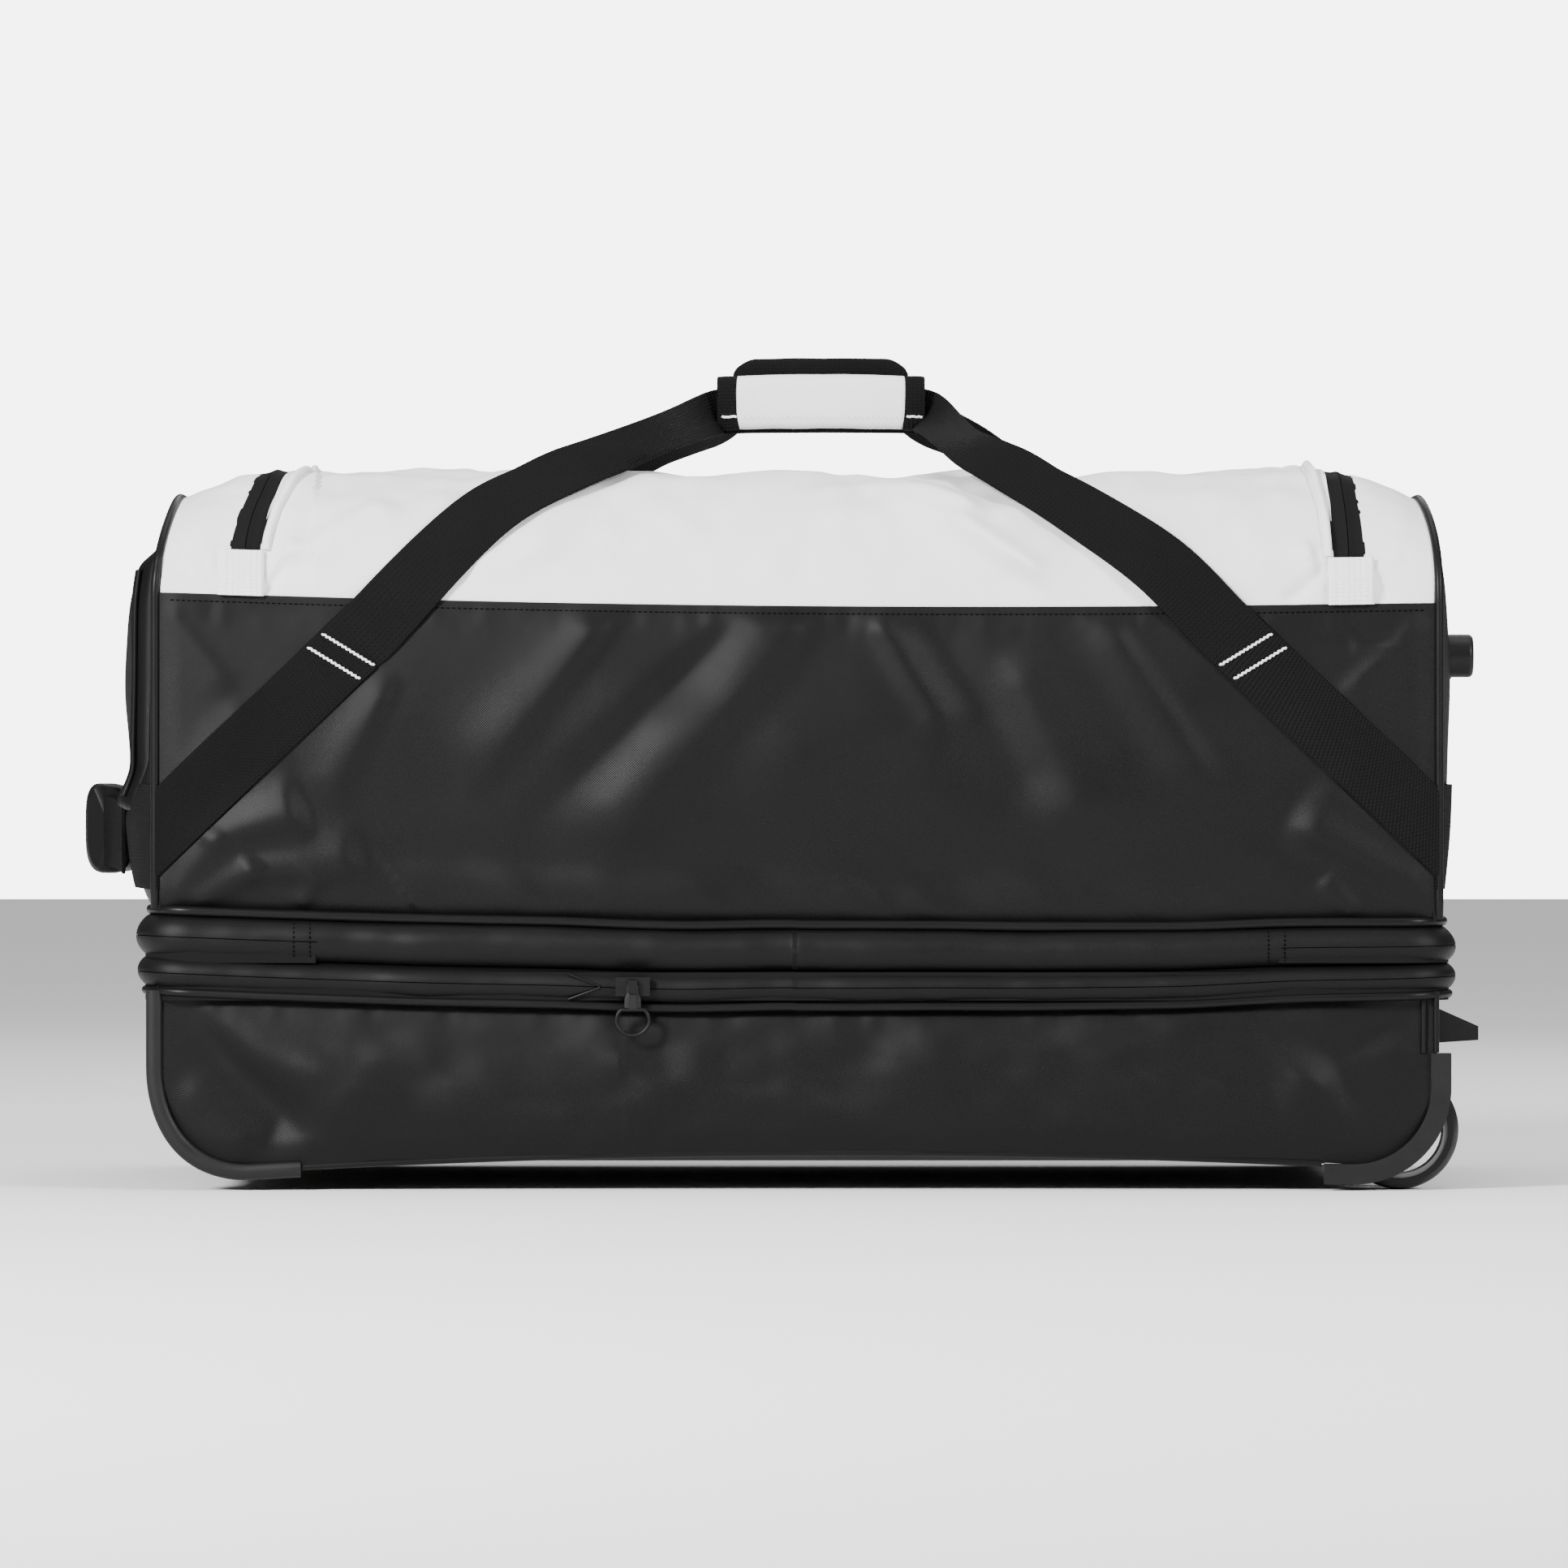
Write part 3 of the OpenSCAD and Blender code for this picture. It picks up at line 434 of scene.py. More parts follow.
def stitches(name, path, out, material, pitch=3.6, share=0.62, r=0.42, lift=0.25):
    """A row of separate stitches along a path, lying on the cloth."""
    path, out = np.asarray(path, float), np.asarray(out, float)
    step = run_lengths(path)
    count = max(2, int(step[-1] / pitch))
    mid = (np.arange(count) + 0.5) * step[-1] / count

    def at(s, a):
        return np.stack([np.interp(s, step, a[:, i]) for i in range(3)], -1)

    a, b = at(mid - pitch * share / 2, path), at(mid + pitch * share / 2, path)
    n = at(mid, np.broadcast_to(out, path.shape))
    n /= np.linalg.norm(n, axis=1, keepdims=True)
    d = (b - a) / np.linalg.norm(b - a, axis=1, keepdims=True)
    w = np.cross(d, n)
    ring = []
    for point, grow in ((a, 0.35), (a + (b - a) * 0.25, 1.0), (a + (b - a) * 0.75, 1.0), (b, 0.35)):
        for cx, cy in ((-1, 0), (0, 1), (1, 0), (0, -1)):
            ring.append(point + n * lift + w * cx * r * grow + n * cy * r * grow)
    verts = np.stack(ring, 1)
    quads = []
    for k in range(3):
        for j in range(4):
            quads.append([4 * k + j, 4 * k + (j + 1) % 4, 4 * k + 4 + (j + 1) % 4, 4 * k + 4 + j])
    quads += [[3, 2, 1, 0], [12, 13, 14, 15]]
    faces = (np.array(quads)[None] + (np.arange(count) * 16)[:, None, None]).reshape(-1, 4)
    return add_mesh(name, to_row(verts.reshape(-1, 3)), faces, [material], sharp=80)


def spaced(low, high, step, ends=1.0):
    """Values from low to high about step apart, closer together at both ends when ends is over 1."""
    n = max(3, int(abs(high - low) / step) + 1)
    t = np.linspace(-1, 1, n)
    t = np.sign(t) * (1 - (1 - np.abs(t)) ** ends)
    return low + (high - low) * (t + 1) / 2


# ---------------------------------------------------------------- the upper body as one lofted shell


def outline(s):
    """Point and outward direction (y, z) at length s along the section of the upper body."""
    s = np.asarray(s, float)
    c = HALF_D - DOME_R
    a = np.clip((s - S_SEAM) / DOME_R, 0, math.pi / 2)
    b = np.clip((s - S_BACK_TOP) / DOME_R, 0, math.pi / 2)
    y = np.where(s < S_BACK_TOP, -c + s - S_TOP, c + DOME_R * np.sin(b))
    y = np.where(s < S_TOP, -c - DOME_R * np.cos(a), y)
    z = np.where(s < S_BACK_TOP, SEAM + DOME_R * np.sin(a), SEAM + DOME_R * np.cos(b))
    z = np.where(s < S_SEAM, BAND_TOP + s, z)
    z = np.where(s > S_BACK_SEAM, SEAM - (s - S_BACK_SEAM), z)
    ny = np.where(s < S_TOP, -np.cos(a), np.sin(b))
    nz = np.where(s < S_TOP, np.sin(a), np.cos(b))
    return y, z, ny, nz


# Folds, each as start, end, width, height and lean. The front's are tension lines that
# run from the straps and the top seam, by height; the dome's are by length up from that seam.
FRONT_FOLDS = (
    ((2, 372), (-128, 218), 20, 4.6, 1.5),
    ((-46, 356), (-165, 236), 13, -3.6, 0.8),
    ((-120, 372), (-208, 262), 12, 3.2, 1.4),
    ((48, 372), (96, 300), 10, 3.0, 0.8),
    ((86, 366), (150, 250), 18, -2.8, 1.2),
    ((140, 340), (186, 240), 18, 3.0, 0.75),
    ((196, 368), (262, 262), 12, 2.8, 1.3),
    ((-262, 322), (-300, 250), 9, 2.6, 1.3),
    ((-404, 182), (-372, 222), 11, 9.0, 0.8),
    ((-376, 220), (-318, 238), 11, 7.0, 0.8),
    ((-388, 178), (-346, 202), 8, 6.0, 0.8),
    ((-350, 200), (-282, 206), 10, 4.4, 0.8),
    ((-318, 178), (-306, 198), 5, 2.2, 0.8),
    ((-392, 256), (-350, 300), 14, 3.2, 1.2),
    ((402, 194), (322, 236), 11, 6.5, 1.4),
    ((404, 214), (340, 262), 9, 2.4, 1.2),
    ((356, 176), (338, 200), 6, 2.2, 1.2),
    ((-404, 366), (-366, 318), 7, 3.0, 1.4),
    ((404, 370), (352, 318), 7, 3.2, 0.7),
    ((386, 350), (356, 352), 5, -2.4),
    ((-230, 214), (210, 208), 16, -3.0, 0.8),
)
DOME_FOLDS = (
    ((176, 4), (62, 84), 10, 5.0, 1.7),
    ((116, 66), (40, 104), 9, 3.4, 1.5),
    ((250, 40), (150, 118), 10, -4.0, 1.2),
    ((-342, 6), (-322, 40), 4, 3.8, 1.4),
    ((336, 4), (326, 40), 4, 3.8, 0.7),
    ((156, 20), (100, 58), 5, 3.4, 1.4),
    ((232, 12), (196, 58), 5, -3.2, 1.4),
    ((-385, 20), (-392, 84), 7, 3.0, 1.3),
    ((384, 30), (396, 90), 6, 3.0, 0.8),
    ((-320, 30), (-262, 72), 10, 2.6, 1.4),
    ((-196, 6), (-136, 80), 13, 2.4, 0.7),
    ((300, 26), (262, 92), 11, 2.4, 1.3),
    ((-60, 20), (40, 80), 20, 1.8),
)
TAB_CREASES = (
    ((-340, 3), (-328, 26), 3.5, -4.0),
    ((-376, 4), (-402, 32), 6, -4.0),
    ((336, 22), (314, 2), 4, -4.0),
    ((373, 22), (380, 2), 4, -3.5),
)


def body_lift(x, s):
    """How far the cloth stands off the plain outline: a soft bulge, seams that hold it in, and folds."""
    x, s = np.broadcast_arrays(np.asarray(x, float), np.asarray(s, float))
    z = BAND_TOP + s
    u = x / HALF_L
    hold = 1 - np.abs(u) ** 8
    wall = np.sin(math.pi * np.clip(s / S_SEAM, 0, 1)) ** 0.8
    back = np.sin(math.pi * np.clip((S_END - s) / S_SEAM, 0, 1)) ** 0.8
    lift = 1.5 + 8.0 * (1 - np.abs(u) ** 3.5) * (wall + back)
    # the front
    on = smooth((S_SEAM + 6 - s) / 22)
    f = folds(x, z, FRONT_FOLDS)
    f += 2.6 * noise(x * 0.9 + z, z - x * 0.45, 70, 3) * wall
    f += 1.3 * noise(x + z * 0.7, z * 0.8, 24, 5) * smooth((34 - np.abs(s - 20)) / 34)
    lift = lift + 1.25 * f * on * hold
    # puckers that the stitching draws along the seam under the white cloth
    lift += 0.5 * noise(x, 0.3 * z, 8, 9) * np.exp(-(((s - S_SEAM + 10) / 8) ** 2))
    # the dome: it dips between its two stiffer ends, with shallow folds
    over = smooth((s - S_SEAM) / 32) * smooth((S_BACK_SEAM - s) / 60)
    d = s - S_SEAM
    g = folds(x, d, DOME_FOLDS)
    g += 2.2 * noise(x, s, 62, 13) + 1.3 * noise(x + s, s - x, 27, 15)
    lift = lift + 1.7 * over * g * hold - 2.2 * over * (1 - (np.clip(x, -330, 330) / 330) ** 2)
    # creases that the zip tabs pull into the white cloth beside them
    c = folds(x, d, TAB_CREASES)
    lift = lift + c * smooth((s - S_SEAM) / 6)
    # the back is calmer
    rear = smooth((s - S_BACK_SEAM) / 30)
    lift = lift + rear * hold * (2.2 * noise(x * 0.8 + z, z * 1.1, 60, 21) + 1.0 * noise(x, z, 24, 23))
    # every panel is held in where it meets the ends and the bands
    lift = lift - 1.5 * smooth((np.abs(x) - HALF_L + 16) / 16)
    return lift - 2.5 * np.exp(-((s / 7) ** 2)) - 2.5 * np.exp(-(((S_END - s) / 7) ** 2))


def end_inset(z, side):
    """How far the end leans in above the seam."""
    t = np.clip((z - SEAM) / (END_TOP - SEAM), 0, 1)
    return np.where(side < 0, 11 * t**1.6, 8 * t**3)


def shell(x, s, extra=0.0):
    x, s = np.broadcast_arrays(np.asarray(x, float), np.asarray(s, float))
    y, z, ny, nz = outline(s)
    slope = np.clip((np.abs(x) - HALF_L + 88) / 88, 0, 1) ** 1.7
    drop = (DOME_TOP - END_TOP) * slope
    z = np.where(z > SEAM, SEAM + (z - SEAM) * (1 - drop / DOME_R), z)
    o = body_lift(x, s) + extra
    inset = end_inset(z, np.sign(x)) * smooth((np.abs(x) - HALF_L + 70) / 70)
    return stacked(x - np.sign(x) * inset, y + ny * o, z + nz * o)


def shell_normal(x, s):
    e = 0.6
    du = shell(np.asarray(x) + e, s) - shell(np.asarray(x) - e, s)
    dv = shell(x, np.asarray(s) + e) - shell(x, np.asarray(s) - e)
    n = np.cross(du, dv)
    return n / np.linalg.norm(n, axis=-1, keepdims=True)


def lid_edge(s, side):
    """Distance of the lid's side edge from the middle; the zip leans in as it climbs."""
    climb = smooth((s - S_FOLD) / (S_TOP - S_FOLD)) * smooth((S_ZIP - s) / (S_TOP - S_FOLD))
    low = smooth((S_FOLD - s) / 5)
    lean = np.where(np.asarray(side) < 0, 17, 3)
    return (LID_HALF + 1 - lean * climb) * (1 - low) + (LID_HALF + ZIP_W / 2) * low


def gusset_edge(s, side):
    """Distance from the middle to the white cloth outside the lid zip."""
    low = np.maximum(smooth((S_FOLD - s) / 5), smooth((s - S_ZIP - ZIP_W) / 5))
    return (lid_edge(s, side) + ZIP_W) * (1 - low) + (LID_HALF + ZIP_W / 2) * low


def panel(name, x_low, x_high, s_values, across, thickness, outer, inner, extra=0.0):
    """A wall of the shell between two edges that may move with s."""
    s = np.asarray(s_values, float)
    t = np.asarray(across, float)
    lo = np.broadcast_to(np.asarray(x_low, float), s.shape)
    hi = np.broadcast_to(np.asarray(x_high, float), s.shape)
    x = lo[None] + (hi - lo)[None] * t[:, None]
    ss = np.broadcast_to(s[None], x.shape)
    e = extra(x, ss) if callable(extra) else extra
    return sheet(name, shell(x, ss, e), thickness, outer, inner)


def split(n):
    return np.linspace(0, 1, n)


front_s = spaced(0, S_SEAM + 1.5, 2.2)
front_panel = panel("front_panel", -HALF_L, HALF_L, front_s, split(360), WALL, BLACK, LINING, 0.9)
belongs(front_panel, "upper", "black_fabric", "upper_front")

back_s = spaced(S_BACK_SEAM - 1.5, S_END, 4)
back_panel = panel("back_panel", -HALF_L, HALF_L, back_s, split(180), WALL, BLACK, LINING, 0.9)
belongs(back_panel, "upper", "black_fabric", "upper_back")

lid_s = np.concatenate([
    spaced(S_SEAM - 2.5, S_FOLD, 2.2), spaced(S_FOLD + 1.5, S_TOP, 2.2), spaced(S_TOP + 3, S_ZIP, 3.2)])


def cord_offset(s):
    """Distance from the lid zip to the cord sewn beside it."""
    return 3.4 + 6 * smooth((s - S_FOLD) / (S_TOP - S_FOLD)) * smooth((S_ZIP - s) / 60)


def cord_groove(x, s):
    """The furrows on both sides of the cord."""
    gap = np.abs(x) - lid_edge(s, x) + cord_offset(s)
    groove = np.exp(-(((np.abs(gap) - 3.4) / 1.6) ** 2))
    return -1.5 * groove * smooth((s - S_FOLD) / 10)


lid_sides = -lid_edge(lid_s, -1), lid_edge(lid_s, 1)
lid_skin = panel("lid_skin", *lid_sides, lid_s, split(420), LID_CLOTH, WHITE, WHITE, cord_groove)
LID_BEND = shell(0, S_FOLD - 16) * 0.001, shell(0, S_FOLD + 16) * 0.001
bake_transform(lid_skin)
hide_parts("lid_panel", "top_front")


def pucker(side):
    """The cloth gathers where the zip is sewn to it."""

    def lift(x, s):
        near = np.exp(-(np.abs(x) - gusset_edge(s, side)) / 9)
        wave = np.sin(s / 3.4 + 3 * noise(s, x * 0, 17, 31 + side))
        return near * (0.5 * wave - 0.8) * smooth((s - S_FOLD + 4) / 12) * smooth((S_ZIP - s) / 12)

    return lift


gusset_s = spaced(S_SEAM - 2.5, S_BACK_SEAM + 2.5, 2.6)
for side, word in ((-1, "left"), (1, "right")):
    inner_edge, outer_edge = side * gusset_edge(gusset_s, side), side * HALF_L
    lo, hi = (outer_edge, inner_edge) if side < 0 else (inner_edge, outer_edge)
    gusset = panel("gusset_" + word, lo, hi, gusset_s, split(34), LID_CLOTH, WHITE, WHITE, pucker(side))
    belongs(gusset, "upper", "white_fabric", "top_" + word)

rear_s = spaced(S_ZIP + ZIP_W, S_BACK_SEAM + 2.5, 2.6)
rear_sides = -gusset_edge(rear_s, -1), gusset_edge(rear_s, 1)
rear_strip = panel("rear_strip", *rear_sides, rear_s, split(240), LID_CLOTH, WHITE, WHITE)
belongs(rear_strip, "upper", "white_fabric", "top_back")

# ---------------------------------------------------------------- lid zip


def tape_lift(s_mid):
    """The two tapes rise towards the teeth; s_mid is the distance from the middle of the zip."""
    return lambda x, s: -1.0 + 1.5 * np.exp(-((s_mid(x, s) / 3.2) ** 2))


SLIT = 0.35  # half the gap between the two tapes
half = ZIP_W / 2
leg_s = spaced(S_FOLD, S_ZIP + half, 2.4)
from_middle = tape_lift(lambda x, s: np.abs(x) - lid_edge(s, x) - half)
from_run = tape_lift(lambda x, s: s - S_ZIP - half)
lid_tapes, frame_tapes = [], []
for tapes, name, near, far, wide_by in (
    (lid_tapes, "lid_zip", -1, half - SLIT, half),
    (frame_tapes, "frame_zip", half + SLIT, ZIP_W + 1, ZIP_W),
):
    for side in (-1, 1):
        a, b = lid_edge(leg_s, side) + near, lid_edge(leg_s, side) + far
        lo, hi = (-b, -a) if side < 0 else (a, b)
        leg = panel(name + "_leg", lo, hi, leg_s, split(9), ZIP_CLOTH, TAPE, TAPE, from_middle)
        tapes.append(leg)
    reach = LID_HALF + 1 + wide_by
    run_s = spaced(S_ZIP + near, S_ZIP + far, 1.1)
    tapes.append(panel(name + "_run", -reach, reach, run_s, split(200), ZIP_CLOTH, TAPE, TAPE, from_run))


def join(objs, name):
    bpy.ops.object.select_all(action="DESELECT")
    for o in objs:
        o.select_set(True)
    bpy.context.view_layer.objects.active = objs[0]
    bpy.ops.object.join()
    objs[0].name = name
    return objs[0]


lid_zip = join(lid_tapes, "lid_zip_half")
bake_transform(lid_zip)
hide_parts("lid_tape")
frame_zip = join(frame_tapes, "body_zip_half")
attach(frame_zip, "upper")
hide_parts("lid_zip_frame")

CORD_TURN = 10  # radius of the cord's two corners
cord_s = spaced(S_FOLD + 1, S_ZIP - 14, 2.5)
bend = np.linspace(0, math.pi / 2, 8)[1:-1]
left_x = -(lid_edge(cord_s, -1) - cord_offset(cord_s))
right_x = lid_edge(cord_s, 1) - cord_offset(cord_s)
end_l, end_r = left_x[-1], right_x[-1]
turn_l = end_l + CORD_TURN - CORD_TURN * np.cos(bend)
turn_r = end_r - CORD_TURN + CORD_TURN * np.cos(bend[::-1])
run_x = np.linspace(end_l + CORD_TURN + 2, end_r - CORD_TURN - 2, 160)
cord_x = np.concatenate([left_x, turn_l, run_x, turn_r, right_x[::-1]])
turn_s = cord_s[-1] + CORD_TURN * np.sin(bend)
straight_s = np.full(run_x.shape, cord_s[-1] + CORD_TURN)
cord_line = np.concatenate([cord_s, turn_s, straight_s, turn_s[::-1], cord_s[::-1]])
cord_path = shell(cord_x, cord_line, 1.2)
lid_cord = sweep("lid_cord", cord_path, disc(2.6, 14), WHITE, up=shell_normal(cord_x, cord_line))
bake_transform(lid_cord)
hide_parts("lid_piping")

# ---------------------------------------------------------------- zip end tabs
for side, word in ((-1, "left"), (1, "right")):
    mid = side * (LID_HALF + ZIP_W / 2 + (3.2 if side < 0 else 2.0))
    x = mid + np.linspace(-14.8, 14.8, 31)
    s = np.linspace(S_SEAM + 1, S_FOLD + 0.5, 30)
    xx, ss = np.meshgrid(x, s, indexing="ij")
    ends = 1.6 * smooth((np.abs(xx - mid) - 13.2) / 1.6)
    ends += 0.7 * np.exp(-(((np.abs(xx - mid) - 7.5) / 0.9) ** 2))
    flat = shell(mid + 0 * xx, ss, 5.0)
    flat[..., 0] = xx
    flat[..., 1] += ends + 0.25 * np.sin(xx * 1.6)
    tab = sheet("zip_tab_" + word, flat, WALL, WHITE_WEB)
    belongs(tab, "upper", "white_fabric")
    if side < 0:
        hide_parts("zip_tabs")

# ---------------------------------------------------------------- end panels and their piping


def end_panel_x(side, y, z):
    """X of an end panel's face."""
    v = np.clip((z - BAND_TOP) / (END_TOP - BAND_TOP), 0, 1)
    hold = (1 - np.abs(y / HALF_D) ** 4) * np.sin(math.pi * v) ** (0.3 if side < 0 else 0.5)
    full = (11 if side < 0 else 15) + (17 * (1 - smooth((z - 235) / 40)) if side < 0 else 0)
    bulge = full * hold + 1.6 * noise(y, z, 55, 41 + side) * hold
    return side * (HALF_L - end_inset(z, side) + bulge)


def end_half_width(z):
    """Half the width of an end panel at height z."""
    squash = (END_TOP - SEAM) / DOME_R
    a = np.clip((z - SEAM) / (DOME_R * squash), 0, 1)
    return np.where(z < SEAM, HALF_D, HALF_D - DOME_R + DOME_R * np.sqrt(1 - a**2))


for side, word in ((-1, "left"), (1, "right")):
    arched = SEAM + (END_TOP - SEAM) * np.sin(np.linspace(0.04, math.pi / 2, 26))
    z = np.concatenate([spaced(BAND_TOP, SEAM, 4), arched])
    u = np.linspace(-1, 1, 100)
    zz, uu = np.meshgrid(z, u, indexing="ij")
    yy = uu * (end_half_width(zz) + 0.5)
    p = stacked(end_panel_x(side, yy, zz), yy, zz)
    end_wall = sheet("end_panel_" + word, p, WALL, BLACK, LINING, flip=side > 0)
    belongs(end_wall, "upper", "black_fabric", "end_" + word)
    s = spaced(2, S_END - 2, 3)
    edge = shell(side * HALF_L, s, 0.6)
    edge[:, 0] += side * 1.4
    piping = sweep("end_piping_" + word, edge, disc(2.8, 12), CORD, up=(side, 0, 0))
    belongs(piping, "upper", "piping_cord")
    if side < 0:
        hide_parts("end_piping")

# ---------------------------------------------------------------- bands


def ring(hx, hy, r, step=3.0):
    """Points and outward directions round a rounded rectangle, from the middle of the front."""
    x, y = hx - r, hy - r
    pts, out = [], []
    start = first = np.array([0.0, -hy])
    for cx, cy, a0 in ((x, -y, -math.pi / 2), (x, y, 0), (-x, y, math.pi / 2), (-x, -y, math.pi)):
        a = a0 + np.linspace(0, math.pi / 2, 14)
        turn = stacked(np.cos(a), np.sin(a))
        arc = [cx, cy] + r * turn
        n = max(2, int(np.linalg.norm(arc[0] - start) / step))
        line = start + (arc[0] - start) * (np.arange(n) / n)[:, None]
        pts += [line, arc[:-1]]
        out += [np.broadcast_to([math.cos(a0), math.sin(a0)], line.shape), turn[:-1]]
        start = arc[-1]
    n = max(2, int(abs(start[0]) / step))
    line = start + (first - start) * (np.arange(n) / n)[:, None]
    pts.append(line)
    out.append(np.broadcast_to([0.0, -1.0], line.shape))
    return np.concatenate(pts), np.concatenate(out)


def round_wall(points, out, off, z):
    """A wall that stands off a ring by off, at height z."""
    return stacked(points[:, :1] + out[:, :1] * off, points[:, 1:] + out[:, 1:] * off, z)


RING, RING_OUT = ring(HALF_L, HALF_D, 22)
RING_LEN = run_lengths(RING)


def wander(length):
    """How far the bands and their piping stray up and down on their way round."""
    return 1.1 * noise(length, 0 * length, 80, 58)


def band(name, z_low, z_high, stand, rows, body, keep=None):
    """A strip of the bands between two heights; stand(t) is how far it stands off the body."""
    t = np.linspace(0, 1, rows)
    l = RING_LEN[:, None]
    zt = z_low + (z_high - z_low) * t
    wave = 1.5 * noise(l, zt[None] * 1.0, 46, 55) + 0.5 * noise(l, zt[None], 15, 56)
    near_ends = smooth((np.abs(RING[:, :1]) - HALF_L + 24) / 24)
    belly = np.sin(math.pi * np.clip((zt[None] - BAND_LOW) / (BAND_TOP - BAND_LOW), 0, 1)) ** 0.5
    o = stand(t)[None] + wave * 0.9
    o = o + 2.6 * near_ends * belly
    p = round_wall(RING, RING_OUT, o, zt[None] + wander(l))
    cells = None
    if keep is not None:
        cells = np.repeat(keep[:, None], rows - 1, 1)
    obj = sheet(name, p, 2.0, BLACK, LINING, keep=cells, wrap=True)
    if body:
        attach(obj, body)
    return obj


OUT = BAND_L - HALF_L
STOP = 308.0
nose = (RING[:, 1] < -HALF_D + 1) & (np.abs(RING[:, 0]) < STOP)


def swell(low, high):
    """Stand-off of a padded strip that is held at low and fullest at its zip."""
    return lambda t: low + (high - low) * np.sin(math.pi / 2 * np.clip(t, 0, 1)) ** 0.62


def flipped(profile):
    return lambda t: profile(1 - t)


rise, fall = swell(4.5, OUT), flipped(swell(4.5, OUT))
top_fall = flipped(swell(3.5, OUT))
BAND_HIGH = BAND_TOP - 2.5
lower_band = band("expansion_band_lower", BAND_LOW + 2.5, EXPAND - 0.3, swell(4.0, OUT), 14, "base")
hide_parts("band_lower")
mid_low = band("expansion_band_upper", EXPAND + 0.3, CREASE - 0.3, fall, 12, "mid_band")
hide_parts("band_mid")
band("clamshell_band_lower", CREASE + 0.3, CLAM - 0.3, rise, 14, "mid_band", keep=~nose)
top_band = band("clamshell_band_upper", CLAM + 0.3, BAND_HIGH, top_fall, 14, "upper", keep=~nose)
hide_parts("band_upper")
HALFWAY = (CLAM - CREASE) / (BAND_HIGH - CREASE)


def wide(t):
    """Stand-off of the plain cloth on the front, where both bands are one piece."""
    return np.where(t < HALFWAY, rise(t / HALFWAY), top_fall((t - HALFWAY) / (1 - HALFWAY)))


hinge_cloth = band("clamshell_fold", CREASE + 0.3, BAND_HIGH, wide, 26, None, keep=nose)
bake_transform(hinge_cloth)


def ring_tube(name, off, z, r, body, replaced, seed):
    o = off + 0.4 * noise(RING_LEN, 0 * RING_LEN, 40, seed)
    flat = RING + RING_OUT * o[:, None]
    path = stacked(flat[:, 0], flat[:, 1], z + wander(RING_LEN))
    belongs(sweep(name, path, disc(r, 12), CORD, closed=True), body, "piping_cord", replaced)


ring_tube("upper_piping", 5.0, BAND_TOP + 0.2, 3.2, "upper", "band_upper_piping", 70)
ring_tube("lower_piping", 8.5, BAND_LOW + 1.0, 2.8, "base", "base_piping", 73)

# the hem that joins the divider, the walls and the band: a square part inside, a rounded part below
inset = HALF_D - DIVIDER_D + 5
inside = ring(HALF_L - inset, HALF_D - inset, 3)
hems = []
for (loop_at, loop_out), start, end, foot, climb in (
    (inside, 0, inset - 1.4, BAND_TOP + 0.8, DIVIDER_TOP - BAND_TOP),
    ((RING, RING_OUT), -7, 3.6, BAND_TOP - 1.4, 0),
):
    t = np.linspace(0, 1, 8)
    off = start + (end - start) * t[None]
    p = round_wall(loop_at, loop_out, off, foot + climb * (1 - smooth(t)))
    hems.append(sheet("hem", p, LINER, LINING, wrap=True, droop=False))
belongs(join(hems, "divider_hem"), "upper", "lining")

# the folded gusset that unfolds when the expansion zip is opened
gusset_ring, gusset_out = ring(BAND_L - 5, BAND_D - 5, 28)
gz = np.linspace(BAND_LOW + 4, CREASE - 3, 24)
depth = 2.0 * np.sin(np.linspace(0, 3 * math.pi, 24))
pleats = round_wall(gusset_ring, gusset_out, (depth - 3)[None], gz)
fold_gusset = sheet("expansion_gusset_cloth", pleats, LINER, LINING, wrap=True)
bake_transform(fold_gusset)
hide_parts("expansion_gusset")

# the welded point where the two lips of the expansion zip part in front of its slider
for word, edge_z, body in (("upper", CREASE - 3, "mid_band"), ("lower", BAND_LOW + 5, "base")):
    t = np.linspace(0, 1, 24)
    px = corners("expansion_slider")[0][0] - MIDDLE - 30 + 20 * t
    pz = edge_z + (EXPAND - edge_z) * t * 0.94
    stand = np.interp(np.abs(pz - EXPAND), (0, 3, 8, 13), (OUT, OUT - 0.5, OUT - 2.4, 4.5)) + 0.8
    bead_path = stacked(px, -HALF_D - stand, pz)
    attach(sweep("zip_point_" + word, bead_path, disc(0.9, 8), CORD, up=(0, -1, 0)), body)

# the two stitched stops where the clamshell zip ends on the front
for side, word in ((-1, "left"), (1, "right")):
    for k in (0, 20):
        at = side * (STOP + k * 0.52) - (3.5 if side < 0 else 6.4)
        zz = np.linspace(CREASE + 3, BAND_TOP - 4, 12)
        t = (zz - CREASE) / (BAND_HIGH - CREASE)
        place = at if side > 0 else RING_LEN[-1] + 3 + at
        wave = 1.35 * noise(place, zz, 46, 55) + 0.45 * noise(place, zz, 15, 56)
        path = stacked(at, -HALF_D - wide(t) - 0.4 - wave, zz)
        row = stitches(f"stop_stitch_{word}_{k}", path, (0, -1, 0), THREAD, pitch=3.0, r=0.5)
        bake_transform(row)

# ---------------------------------------------------------------- lower compartment


def tub_low(x):
    """Height of the lower body's outline at x."""
    r = np.where(x < 0, CORNER_R, WHEEL_CORNER_R)
    a = np.clip((np.abs(x) - HALF_L + r) / r, 0, 1)
    return BOTTOM + r - r * np.sqrt(1 - a**2)


def under_guard(x, z):
    """Whether a point of a lower panel lies under the guard of the wheel corner."""
    far = np.hypot(np.maximum(x - GUARD_X, 0), np.maximum(GUARD_Z - z, 0))
    return (far > GUARD_R + 3) & (x > HALF_L - 68) & (z < GUARD_TOP - 3)


